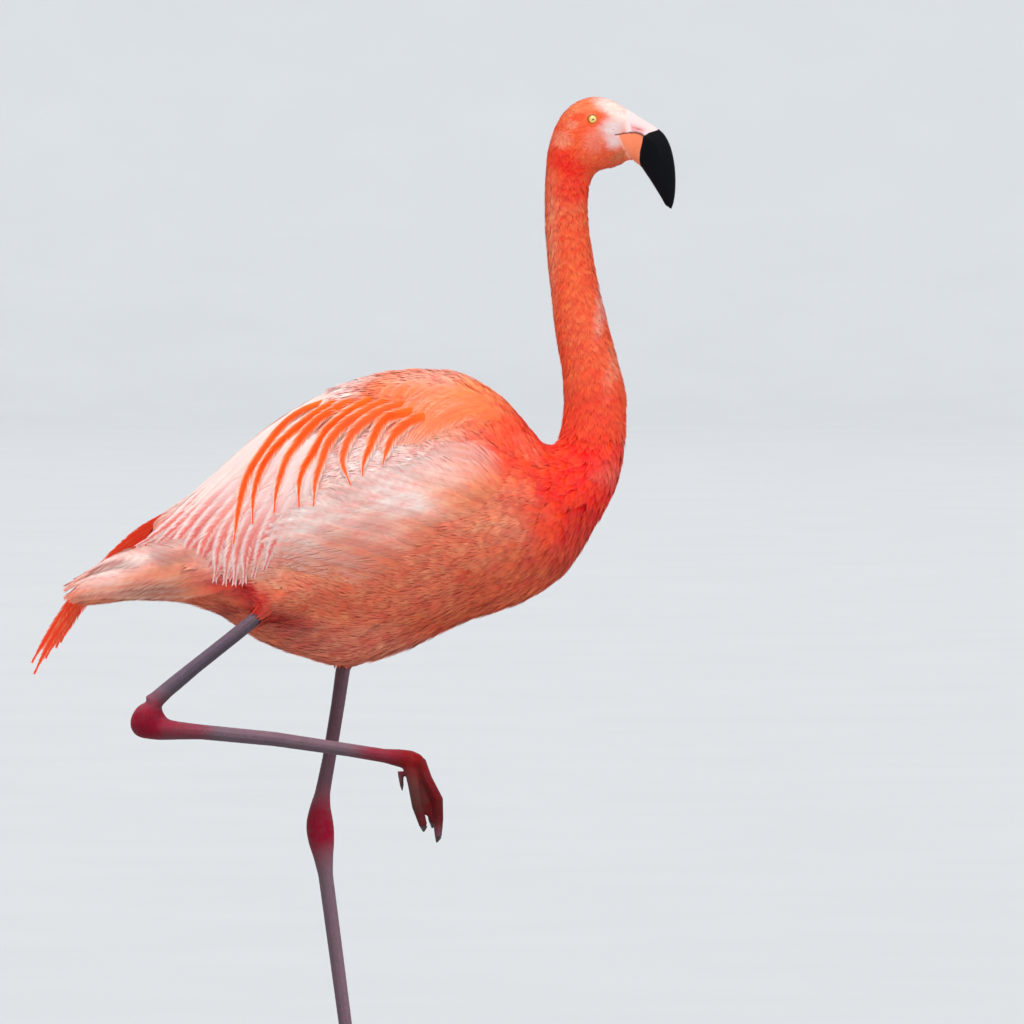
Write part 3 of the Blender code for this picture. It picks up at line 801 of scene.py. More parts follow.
class Tree:
    """A node tree being built."""

    def __init__(self, tree):
        self.tree = tree

    def node(self, kind, settings=None, inputs=None, output=0):
        """A node of the kind, with its settings and inputs, as the wire of one of its outputs."""
        made = self.tree.nodes.new(kind)
        for name, value in (settings or {}).items():
            setattr(made, name, value)
        for name, value in (inputs or {}).items():
            self.plug(made.inputs[name], value)
        return Wire(self, made.outputs[output]) if made.outputs else made

    def plug(self, socket, value):
        if isinstance(value, Wire):
            self.tree.links.new(value.socket, socket)
        elif isinstance(value, tuple) and socket.type == "RGBA" and len(value) == 3:
            socket.default_value = (*value, 1)
        else:
            socket.default_value = value

    def attribute(self, name, output="Fac"):
        return self.node("ShaderNodeAttribute", {"attribute_name": name}, output=output)

    def noise(self, scale, detail=2.0, roughness=0.5, stretch=(1, 1, 1)):
        """Noise with scale bumps in a metre, drawn out along an axis where stretch is small."""
        where = self.node("ShaderNodeTexCoord", output="Object")
        place = self.node("ShaderNodeMapping", inputs={"Vector": where, "Scale": stretch})
        inputs = {"Vector": place, "Scale": scale, "Detail": detail, "Roughness": roughness}
        return self.node("ShaderNodeTexNoise", inputs=inputs)

    def cells(self, scale, feature):
        """Cells, scale of them in a metre, as the distance that the feature names."""
        where = self.node("ShaderNodeTexCoord", output="Object")
        return self.node("ShaderNodeTexVoronoi", {"feature": feature}, {"Vector": where, "Scale": scale})

    def mix(self, share, first, second):
        return self.node("ShaderNodeMix", {"data_type": "RGBA"}, {0: share, 6: first, 7: second}, output=2)

    def tuned(self, colour, hue=0.5, saturation=1.0, value=1.0):
        inputs = {"Hue": hue, "Saturation": saturation, "Value": value, "Color": colour}
        return self.node("ShaderNodeHueSaturation", inputs=inputs)


def finish_material(name, build):
    """A material whose surface build() gives, as inputs of the Principled shader."""
    made = bpy.data.materials.new(name)
    made.use_nodes = True
    made.node_tree.nodes.clear()
    tree = Tree(made.node_tree)
    inputs = build(tree)
    bump = inputs.pop("Height", None)
    if bump is not None:
        height, depth = bump
        inputs["Normal"] = tree.node("ShaderNodeBump", inputs={"Height": height, "Distance": depth * MM})
    shader = tree.node("ShaderNodeBsdfPrincipled", inputs=inputs)
    tree.node("ShaderNodeOutputMaterial", inputs={"Surface": shader})
    return made


# Coat ---------------------------------------------------------------------------------------------------


class Tuft(NamedTuple):
    """The form of a tuft, in shares of its length."""

    barbs: int
    steps: int
    spread: float
    width: float
    ragged: float
    lift: float  # how high its tip stands


TUFTS = {
    "down": Tuft(5, 2, 0.20, 0.085, 0.16, 0.26),
    "neck": Tuft(6, 2, 0.19, 0.070, 0.18, 0.22),
    "body": Tuft(9, 3, 0.24, 0.058, 0.12, 0.20),
    "loose": Tuft(9, 3, 0.30, 0.046, 0.22, 0.24),
}
VARIANTS = 6  # of each kind of tuft
CROWDING = 1.6  # candidate roots for each square of the spacing


def tuft_mesh(name, form, seed):
    """A fan of tapering barbs from the origin along +X, one unit long."""
    rng = np.random.default_rng(seed)
    vertices, faces, strand, rise = [], [], [], []
    for k in range(form.barbs):
        turn = 2 * k / (form.barbs - 1) - 1 + rng.uniform(-0.08, 0.08)
        reach = 1 - 0.30 * turn**2 - form.ragged * rng.uniform(0, 1)
        start = np.array((0.06 * rng.uniform(0, 1), 0.25 * form.spread * turn))
        middle = np.array((0.45 * reach, 0.8 * form.spread * turn))
        end = np.array((reach, form.spread * (turn + rng.uniform(-0.12, 0.12))))
        height = rng.uniform(0.75, 1.15) * form.lift * (1 - 0.25 * abs(turn))
        first = len(vertices)
        for row in range(form.steps + 1):
            t = row / form.steps
            at = (1 - t) ** 2 * start + 2 * t * (1 - t) * middle + t * t * end
            slope = (1 - t) * (middle - start) + t * (end - middle)
            across = np.array((-slope[1], slope[0])) / np.linalg.norm(slope)
            half = form.width * (0.75 + 0.9 * t - 1.1 * t * t)
            for side in (0,) if row == form.steps else (-1, 1):
                x, y = at + across * side * half
                vertices.append((x, y, 0))
                strand.append((t, turn, side))
                rise.append(0.03 + height * t**1.2)
        for row in range(form.steps):
            a = first + 2 * row
            faces.append((a, a + 2, a + 3, a + 1) if row < form.steps - 1 else (a, a + 2, a + 1))
    mesh = bpy.data.meshes.new(name)
    mesh.from_pydata(vertices, [], faces)
    if mesh.polygons[0].normal.z < 0:
        mesh.flip_normals()
    store(mesh, "strand", "FLOAT_VECTOR", np.array(strand))
    store(mesh, "rise", "FLOAT", np.array(rise))
    return mesh


def tuft_collection(kind):
    """The kind's variants, each a little different."""
    collection = bpy.data.collections.new("tufts_" + kind)
    for i in range(VARIANTS):
        mesh = tuft_mesh(f"{kind}_{i}", TUFTS[kind], 100 + i)
        collection.objects.link(bpy.data.objects.new(mesh.name, mesh))
    return collection


SKIN_FACTS = ("up", "lie", "length", "coat")  # what the skin tells its coats
COAT_INPUTS = (
    ("Coat", "NodeSocketInt"),
    ("Spacing", "NodeSocketFloat"),
    ("Tufts", "NodeSocketCollection"),
    ("Height", "NodeSocketFloat"),
    ("Wander", "NodeSocketFloat"),
    ("Seed", "NodeSocketInt"),
    ("Finish", "NodeSocketMaterial"),
)


def coat_tree():
    """Sets tufts on the faces of one coat, along the lie, and drapes them over the skin."""
    group = bpy.data.node_groups.new("coat", "GeometryNodeTree")
    group.interface.new_socket("Geometry", in_out="INPUT", socket_type="NodeSocketGeometry")
    for name, kind in COAT_INPUTS:
        group.interface.new_socket(name, in_out="INPUT", socket_type=kind)
    group.interface.new_socket("Geometry", in_out="OUTPUT", socket_type="NodeSocketGeometry")
    tree = Tree(group)
    node = tree.node
    given = group.nodes.new("NodeGroupInput")
    value = {socket.name: Wire(tree, socket) for socket in given.outputs}

    def named(name, kind="FLOAT"):
        return node("GeometryNodeInputNamedAttribute", {"data_type": kind}, {"Name": name})

    def keep(geometry, name, kind, data):
        settings = {"data_type": kind, "domain": "POINT"}
        return node("GeometryNodeStoreNamedAttribute", settings, {0: geometry, "Name": name, "Value": data})

    def chance(low, high, salt):
        settings = {"data_type": "FLOAT"}
        inputs = {2: low, 3: high, "Seed": value["Seed"] + salt}
        return node("FunctionNodeRandomValue", settings, inputs, output=1)

    chosen = node(
        "FunctionNodeCompare",
        {"data_type": "INT", "operation": "EQUAL"},
        {2: named("coat", "INT"), 3: value["Coat"]},
    )
    spread = {
        "Mesh": value["Geometry"],
        "Selection": chosen,
        "Distance Min": value["Spacing"],
        "Density Max": CROWDING / (value["Spacing"] * value["Spacing"]),
        "Seed": value["Seed"],
    }
    roots = node("GeometryNodeDistributePointsOnFaces", {"distribute_method": "POISSON"}, spread)
    roots = keep(roots, "root", "FLOAT_VECTOR", node("GeometryNodeInputPosition"))
    roots = keep(roots, "chance", "FLOAT", chance(0.0, 1.0, 1))
    along = node(
        "FunctionNodeAxesToRotation",
        {"primary_axis": "Z", "secondary_axis": "X"},
        {0: named("up", "FLOAT_VECTOR"), 1: named("lie", "FLOAT_VECTOR")},
    )
    yaw = node("ShaderNodeCombineXYZ", inputs={2: chance(-1.0, 1.0, 2) * value["Wander"]})
    turned = node(
        "FunctionNodeRotateRotation",
        {"rotation_space": "LOCAL"},
        {0: along, 1: node("FunctionNodeEulerToRotation", inputs={0: yaw})},
    )
    size = named("length") * chance(0.8, 1.2, 3)
    roots = keep(roots, "size", "FLOAT", size)
    kinds = node(
        "GeometryNodeCollectionInfo",
        inputs={"Collection": value["Tufts"], "Separate Children": True, "Reset Children": True},
    )
    pick = {4: 0, 5: VARIANTS - 1, "Seed": value["Seed"] + 4}
    setting = {
        "Points": roots,
        "Instance": kinds,
        "Pick Instance": True,
        "Instance Index": node("FunctionNodeRandomValue", {"data_type": "INT"}, pick, output=2),
        "Rotation": turned,
        "Scale": named("size"),
    }
    placed = node("GeometryNodeInstanceOnPoints", inputs=setting)
    solid = node("GeometryNodeRealizeInstances", inputs={0: placed})
    here = node("GeometryNodeInputPosition")

    def under(data):
        inputs = {"Mesh": value["Geometry"], "Value": data, "Sample Position": here}
        return node("GeometryNodeSampleNearestSurface", {"data_type": "FLOAT_VECTOR"}, inputs)

    up = under(named("up", "FLOAT_VECTOR"))
    floor = under(here)
    height = named("rise") * named("size") * value["Height"]
    lifted = node("ShaderNodeVectorMath", {"operation": "SCALE"}, {0: up, "Scale": height})
    draped = node("ShaderNodeVectorMath", {"operation": "ADD"}, {0: floor, 1: lifted})
    solid = keep(solid, "sky", "FLOAT_VECTOR", up)
    solid = node("GeometryNodeSetPosition", inputs={"Geometry": solid, "Position": draped})
    for name in SKIN_FACTS + ("tint", "rise"):
        solid = node("GeometryNodeRemoveAttribute", inputs={"Geometry": solid, "Name": name})
    solid = node("GeometryNodeSetMaterial", inputs={"Geometry": solid, "Material": value["Finish"]})
    end = group.nodes.new("NodeGroupOutput")
    tree.plug(end.inputs[0], solid)
    return group


def grown(skin, name, tree, finish, settings):
    """One piece of coat, grown on the skin and kept as a plain mesh."""
    modifier = skin.modifiers.new(name, "NODES")
    modifier.node_group = tree
    values = dict(settings, Finish=finish)
    for item in tree.interface.items_tree:
        if item.in_out == "INPUT" and item.name in values:
            modifier[item.identifier] = values[item.name]
    skin.data.update()
    mesh = evaluated(skin)
    skin.modifiers.remove(modifier)
    mesh.name = name
    return add_object(name, mesh)


PATCH = 0.003  # how large each tuft's place on its map is


def root_map(mesh, roots, patch):
    """The UV map of a coat: each tuft a small patch at its root's place on the unrolled skin."""
    reach, turn = along_spine(roots)
    low, high = reach.min(), reach.max()
    u = (reach - low) / (high - low) * (1 - 2 * PATCH) + PATCH
    v = (turn / math.tau + 0.5) * (1 - 2 * PATCH) + PATCH
    spread = np.stack([u, v], axis=1) + (patch - 0.5) * PATCH
    corners = np.empty(len(mesh.loops), int)
    mesh.loops.foreach_get("vertex_index", corners)
    layer = mesh.uv_layers.new(name="OFBake")
    layer.data.foreach_set("uv", spread[corners].ravel())


def softened(mesh, ways_up, share=0.75):
    """Shades the mesh mostly as the body under it, as fine barbs do."""
    own = normals(mesh)
    agree = np.sum(own * ways_up, axis=1, keepdims=True)
    share = share * smoothstep(0.1, 0.6, agree)
    mesh.normals_split_custom_set_from_vertices(unit(ways_up * share + own * (1 - share)).tolist())


def coloured(coat):
    """Gives a coat its colours and its UV map from the roots of its tufts."""
    mesh = coat.data
    roots = stored(mesh, "root") / MM
    strand = stored(mesh, "strand")
    chance = stored(mesh, "chance", 1)
    points = places(mesh)
    tint = plumage(roots + (points - roots) * 0.5)
    light = 1 + 0.14 * (chance - 0.5) + 0.06 * (strand[:, 0] - 0.5)
    tint = tint * light[:, None]
    tint[:, 1:] *= (1 + 0.24 * (chance * 7 % 1 - 0.5))[:, None]
    pale = np.clip((strand[:, 0] - 0.45) * 0.35, 0, 1)[:, None]
    tint = tint + (1 - tint) * pale * 0.25
    store(mesh, "tint", "FLOAT_COLOR", np.clip(tint, 0, 1))
    across = 0.5 + 0.35 * strand[:, 1] + 0.12 * strand[:, 2]
    root_map(mesh, roots, np.stack([strand[:, 0], across], axis=1))
    softened(mesh, stored(mesh, "sky"))
    for name in ("root", "size", "sky"):
        mesh.attributes.remove(mesh.attributes[name])
    return coat


# Lofts --------------------------------------------------------------------------------------------------


class Rib(NamedTuple):
    """A cross-section in the plane through its dorsal and ventral points and the Y axis."""

    dorsal: tuple
    ventral: tuple
    half_width: float
    widest: float = 0.5


UPPER_BILL = (
    Rib((212.0, 960.0), (214.0, 937.6), 11.4, 0.2),
    Rib((221.2, 956.6), (221.2, 936.6), 11.6, 0.2),
    Rib((233, 949), (230, 935.0), 10.6, 0.16),
    Rib((244.5, 942), (237.0, 930), 10.0, 0.14),
    Rib((252.8, 935.5), (242.5, 921.5), 9.5, 0.14),
    Rib((258.8, 925), (247.0, 911), 8.9, 0.14),
    Rib((262.6, 911), (250.8, 901), 8.1, 0.14),
    Rib((264.3, 896), (253.2, 891), 7.1, 0.16),
    Rib((264.2, 881), (254.2, 878), 5.6, 0.2),
    Rib((262.6, 869.5), (255.6, 868.2), 3.4, 0.3),
    Rib((260.4, 863.2), (258.2, 864.2), 1.2),
)
LOWER_BILL = (
    Rib((213.0, 944.6), (216.0, 914.5), 11.6, 0.66),
    Rib((222.0, 944.6), (221.8, 911.3), 12.0, 0.68),
    Rib((233.5, 942.0), (226.5, 907.5), 11.9, 0.72),
    Rib((243.8, 936.5), (231, 904), 11.2, 0.74),
    Rib((250.4, 927.5), (236, 897), 10.2, 0.74),
    Rib((254.8, 916.5), (241, 889.5), 9.2, 0.74),
    Rib((258.2, 905.5), (246, 881.5), 7.9, 0.74),
    Rib((260.6, 893.6), (250.3, 874.5), 6.3, 0.72),
    Rib((261.6, 881.4), (254.2, 867.6), 4.3, 0.68),
    Rib((260.6, 869.2), (256.6, 865.2), 1.6),
)
HIDDEN_RIBS = 1  # how many ribs of each half of the bill lie inside the face
BILL_SIDES = 56
BILL_STEPS = 8


def smooth_rows(rows, steps):
    """The rows and steps - 1 more between each two, on a Catmull-Rom curve through them."""
    rows = [np.array(row, float) for row in rows]
    ends = [2 * rows[0] - rows[1]] + rows + [2 * rows[-1] - rows[-2]]
    found = []
    for before, a, b, after in zip(ends, ends[1:], ends[2:], ends[3:]):
        for step in range(steps):
            t = step / steps
            curve = 2 * a + (b - before) * t + (2 * before - 5 * a + 4 * b - after) * t**2
            found.append(0.5 * (curve + (3 * a - before - 3 * b + after) * t**3))
    return found + [rows[-1]]


def rib_ring(row):
    """One rib's outline: two half ellipses that share the widest line, a little squared."""
    dorsal, ventral, half_width, widest = row[0:2], row[2:4], row[4], row[5]
    centre = ventral + (dorsal - ventral) * widest
    turn = np.arange(BILL_SIDES) * math.tau / BILL_SIDES
    up, out = np.cos(turn), np.sin(turn)
    out = np.sign(out) * np.abs(out) ** 0.9
    end = np.where(up[:, None] > 0, dorsal, ventral)
    flat = centre + (end - centre) * np.abs(up)[:, None]
    return np.stack([flat[:, 0], half_width * out, flat[:, 1]], axis=1)


def loft(name, rings):
    """A closed mesh over rings of points in millimetres."""
    sides = len(rings[0])
    ends = [ring.mean(axis=0, keepdims=True) for ring in (rings[0], rings[-1])]
    points = np.concatenate(rings + ends)
    last = (len(rings) - 1) * sides
    faces = []
    for i in range(sides):
        j = (i + 1) % sides
        for r in range(0, last, sides):
            faces.append((r + i, r + j, r + sides + j, r + sides + i))
        faces.append((i, j, last + sides))
        faces.append((last + i, last + j, last + sides + 1))
    mesh = bpy.data.meshes.new(name)
    mesh.from_pydata([tuple(p) for p in points * MM], [], faces)
    bm = bmesh.new()
    bm.from_mesh(mesh)
    bmesh.ops.recalc_face_normals(bm, faces=bm.faces)
    bm.to_mesh(mesh)
    bm.free()
    return add_object(name, mesh)


def bill_parts():
    """The bill's two halves, fitted together to their solids' boxes, with their roots inside the face."""
    halves = []
    for ribs in (UPPER_BILL, LOWER_BILL):
        rows = [rib.dorsal + rib.ventral + (rib.half_width, rib.widest) for rib in ribs]
        halves.append([rib_ring(row) for row in smooth_rows(rows, BILL_STEPS)])
    shown = np.concatenate([ring for rings in halves for ring in rings[HIDDEN_RIBS * BILL_STEPS :]])
    corners = np.array([corner for node in ("bill_upper", "bill_lower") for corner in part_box(node)]) / MM
    low, high = corners.min(axis=0), corners.max(axis=0)
    scale = (high - low) / (shown.max(axis=0) - shown.min(axis=0))
    for name, rings in zip(("bill_top", "bill_under"), halves):
        yield loft(name, [low + (ring - shown.min(axis=0)) * scale for ring in rings])


# Bill ---------------------------------------------------------------------------------------------------

BLACK_EDGE = ((250, 946), (247, 938.8), (238.5, 936.2), (233.2, 932.6), (232, 926), (230.1, 918))
BLACK_EDGE += ((229.6, 910), (230.7, 904), (226, 890))
NOSTRIL = ((216.5, 942.2), (224, 940.6), (231.5, 938.2))


def dress_bill(obj, upper):
    """Gives half of the bill its relief and its colours."""
    mesh = obj.data
    points = places(mesh)
    outward = normals(mesh)
    nostril = np.abs(from_line(points, NOSTRIL))
    on_side = np.abs(outward[:, 1]) > 0.35
    relief = np.zeros(len(points))
    if upper:
        relief = (0.3 * bell(nostril, 1.9, 0.8) - 1.3 * bell(nostril, 0, 0.75)) * on_side
    set_places(mesh, points + outward * relief[:, None])
    gape = from_line(points, GAPE)
    above = smoothstep(-0.3, 0.3, gape)[:, None]
    base = mixed(np.array(BILL_ORANGE), BILL_PALE, above)
    base = mixed(base, BILL_PINK, bell(nostril, 0, 3.5)[:, None] * 0.8 * above)
    if upper:
        base = mixed(base, NOSTRIL_RED, (bell(nostril, 0, 0.6) * on_side)[:, None])
    # Painted shade along the gape line, in the seam between the two halves.
    thickness = 0.7 + 0.5 * smoothstep(212, 232, points[:, 0])
    gape_line_shade = (bell(gape, 0, thickness) * on_side)[:, None]
    store(mesh, "tint", "FLOAT_COLOR", mixed(base, GAPE_SHADE, gape_line_shade))
    store(mesh, "edge", "FLOAT", from_line(points, BLACK_EDGE))


# Eyes ---------------------------------------------------------------------------------------------------

PUPIL = linear(0.03, 0.02, 0.01)
IRIS = linear(0.96, 0.86, 0.48)
IRIS_EDGE = linear(0.80, 0.58, 0.18)
LID_SHADE = linear(0.52, 0.22, 0.06)
PUPIL_RADIUS = 0.85
IRIS_RADIUS = 3.7
CORNEA_RISE = 0.45
BALL_SHARE = 0.965  # of the eye's radius that the ball under the cornea takes


def make_eye(name, node, side):
    """An eyeball with its colours by distance from the gaze, and a domed cornea."""
    centre = np.mean(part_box(node), axis=0) / MM
    bm = bmesh.new()
    bmesh.ops.create_uvsphere(bm, u_segments=64, v_segments=64, radius=1)
    mesh = bpy.data.meshes.new(name)
    bm.to_mesh(mesh)
    bm.free()
    ball = places(mesh) * MM
    angle = np.arccos(np.clip(ball[:, 2], -1, 1))
    gaze = Vector((0.10, side, 0.02)).normalized()
    spin = Vector((0, 0, 1)).rotation_difference(gaze).to_matrix()
    ball = ball @ np.array(spin).T
    behind = (angle > math.pi / 2) * 99
    across = EYE_RADIUS * np.sin(angle) + behind
    dome = CORNEA_RISE * (1 - smoothstep(0, IRIS_RADIUS + 0.6, across))
    set_places(mesh, centre + ball * (EYE_RADIUS * BALL_SHARE + dome[:, None]))
    store(mesh, "ring", "FLOAT", across)
    return add_object(name, mesh)


# Legs ---------------------------------------------------------------------------------------------------

LEG_GREY = linear(0.52, 0.42, 0.46)
LEG_DARK = linear(0.38, 0.24, 0.28)
JOINT_RED = linear(0.62, 0.05, 0.18)
FOOT_RED = linear(0.56, 0.0, 0.04)
TOE_RED = linear(0.4, 0.0, 0.03)
LEG_SLATE = linear(0.42, 0.37, 0.43)
WEB_BROWN = linear(0.36, 0.22, 0.19)

LEG_MARKINGS = {
    "right": (
        Spot(-185, 430, 70, 60, LEG_SLATE, 0.8),
        Spot(-241, 372, 30, 26, JOINT_RED),
        Spot(-205, 367, 26, 16, JOINT_RED, 0.6),
        Spot(-14, 340, 30, 18, JOINT_RED, 0.8),
        Spot(14, 334, 24, 24, FOOT_RED),
        Spot(28, 300, 26, 45, FOOT_RED, 0.9),
        Spot(27, 288, 22, 30, TOE_RED, 0.8),
        Spot(12, 300, 14, 26, WEB_BROWN, 0.8),
    ),
    "left": (
        Spot(-66, 345, 26, 70, LEG_DARK, 0.7),
        Spot(-77, 268, 28, 34, JOINT_RED),
        Spot(-42, 10, 26, 22, JOINT_RED, 0.8),
        Spot(0, 0, 60, 16, FOOT_RED, 0.5),
    ),
}


class Knuckle(NamedTuple):
    """A ball that fills the joint between two solids, in millimetres."""

    x: float
    y: float
    z: float
    radius: float


KNUCKLES = {
    "right": tuple(Knuckle(-130 + 3.2 * i, -58.6 + 0.5 * i, 477.6 + 2.5 * i, 6.9) for i in range(8))
    + (
        Knuckle(-236, -49.8, 386, 9.0),
        Knuckle(-242, -49, 378.5, 12.5),
        Knuckle(-243.5, -48.8, 372, 12.5),
        Knuckle(-237, -48.6, 367, 11.0),
        Knuckle(-227, -48.2, 364.5, 9.0),
        Knuckle(-217, -47.6, 363, 7.8),
        Knuckle(3, -34.3, 337, 8.8),
        Knuckle(9, -34.2, 335.5, 9.6),
        Knuckle(8, -36, 322, 4.0),
    ),
    "left": tuple(Knuckle(-54 + 0.5 * i, 35.6 + 0.4 * i, 425 + 4 * i, 6.9) for i in range(8))
    + (
        Knuckle(-77, 18.8, 286, 9.4),
        Knuckle(-74, 16, 241, 9.4),
        Knuckle(-43.8, 0.4, 17, 7.8),
        Knuckle(-48, -1, 13, 4.0),
    ),
}


# The slim end of the right shank: places with radii
WAIST = ((-196, -54.5, 425.5, 7.3), (-222, -51.5, 404, 7.4), (-235, -50, 392, 8.6), (-241, -49.3, 381, 14.0))


def drawn_in(points, line):
    """The points brought within the radius that a line of places and radii gives along its way."""
    for start, end in zip(np.array(line), np.array(line)[1:]):
        way = end[:3] - start[:3]
        t = (points - start[:3]) @ way / (way @ way)
        foot = start[:3] + t[:, None] * way
        out = points - foot
        reach = np.linalg.norm(out, axis=1)
        limit = start[3] + (end[3] - start[3]) * t
        near = (t > 0) & (t <= 1) & (reach > limit) & (reach < limit + 6)
        points[near] = foot[near] + out[near] * (limit[near] / reach[near])[:, None]
    return points


# The joints to be smoothed: x, z and reach
BENDS = {
    "right": ((-240, 374, 30), (8, 334, 13)),
    "left": ((-76, 268, 38), (-45, 14, 14)),
}


def leg_nodes(side):
    return [f"{part}_{side}" for part in LEG_PARTS]


def make_leg(side):
    """A leg and foot as one surface."""
    leg = gathered(f"leg_skin_{side}", leg_nodes(side), lambda points: np.full(len(points), 0.5))
    bm = bmesh.new()
    bm.from_mesh(leg.data)
    for knuckle in KNUCKLES[side]:
        place = Matrix.Translation(Vector(knuckle[:3]) * MM)
        bmesh.ops.create_icosphere(bm, subdivisions=3, radius=knuckle.radius * MM, matrix=place)
    for claw in [node for node in frame["nodes"] if node.startswith("claw_") and side in node]:
        stub = gathered(claw, [claw], lambda points: np.full(len(points), -0.1))
        bm.from_mesh(stub.data)
        bpy.data.objects.remove(stub)
    bm.to_mesh(leg.data)
    bm.free()
    fused(leg, LEG_VOXEL, smoothing=4)
    points = places(leg.data)
    near = np.zeros(len(points))
    for x, z, reach in BENDS[side]:
        gap = (points[:, 0] - x) ** 2 + (points[:, 2] - z) ** 2
        near = np.maximum(near, bell(gap, 0, reach**2))
    points = points + normals(leg.data) * (near * 1.2 - 0.35)[:, None]
    if side == "right":
        points = drawn_in(points, WAIST)
    points = relaxed(points, edge_pairs(leg.data), 0.5 * near, rounds=70)
    points[:, 2] = np.maximum(points[:, 2], 0.05)
    set_places(leg.data, points)
    colour = painted(points, LEG_GREY, LEG_MARKINGS[side])
    # Painted light and shade: the right leg is lighter on its upper side and the left leg on its front, and
    # darker where they turn away.
    out = normals(leg.data)
    lit = smoothstep(-0.5, 0.9, out[:, 2] if side == "right" else 0.6 * out[:, 0])[:, None]
    colour = colour * (0.62 + 0.62 * lit * np.array((1.0, 0.86, 0.95)))
    store(leg.data, "tint", "FLOAT_COLOR", np.clip(colour, 0, 1))
    return leg


# Long feathers --------------------------------------------------------------------------------------------


class Vane(NamedTuple):
    """How the long feathers of a group are formed, in millimetres, and coloured."""

    width: float  # of half the vane
    edge: tuple  # its colours
    core: tuple
    streak: float  # how much of the half width the core's colour takes
    rise: float = 3.0  # above the skin
    layer: float = 0.35  # how much higher each one lies than the one before
    loose: float = 0.25  # how ragged its edge is
    bow: float = 0.8  # how much higher its shaft is than its edges
    free: float = 0.0  # how far the tip stands off
    base: tuple = None  # the colour of its root, or else the coat's
    tip: tuple = None  # the colour of its core near the tip
    rim: tuple = None  # the colour of its core near the sides
    local: float = 0.0  # how far the body's own colours show in place of these


class Fan(NamedTuple):
    """A group of long feathers side by side, each a blend of the two nearest paths, from root to tip."""

    count: int
    vane: Vane
    paths: tuple


FLUFF = linear(0.98, 0.80, 0.76)
RASPBERRY = linear(0.92, 0.46, 0.43)
FLUSHED = linear(0.97, 0.66, 0.58)
PALE_GOLD = linear(0.99, 0.80, 0.68)

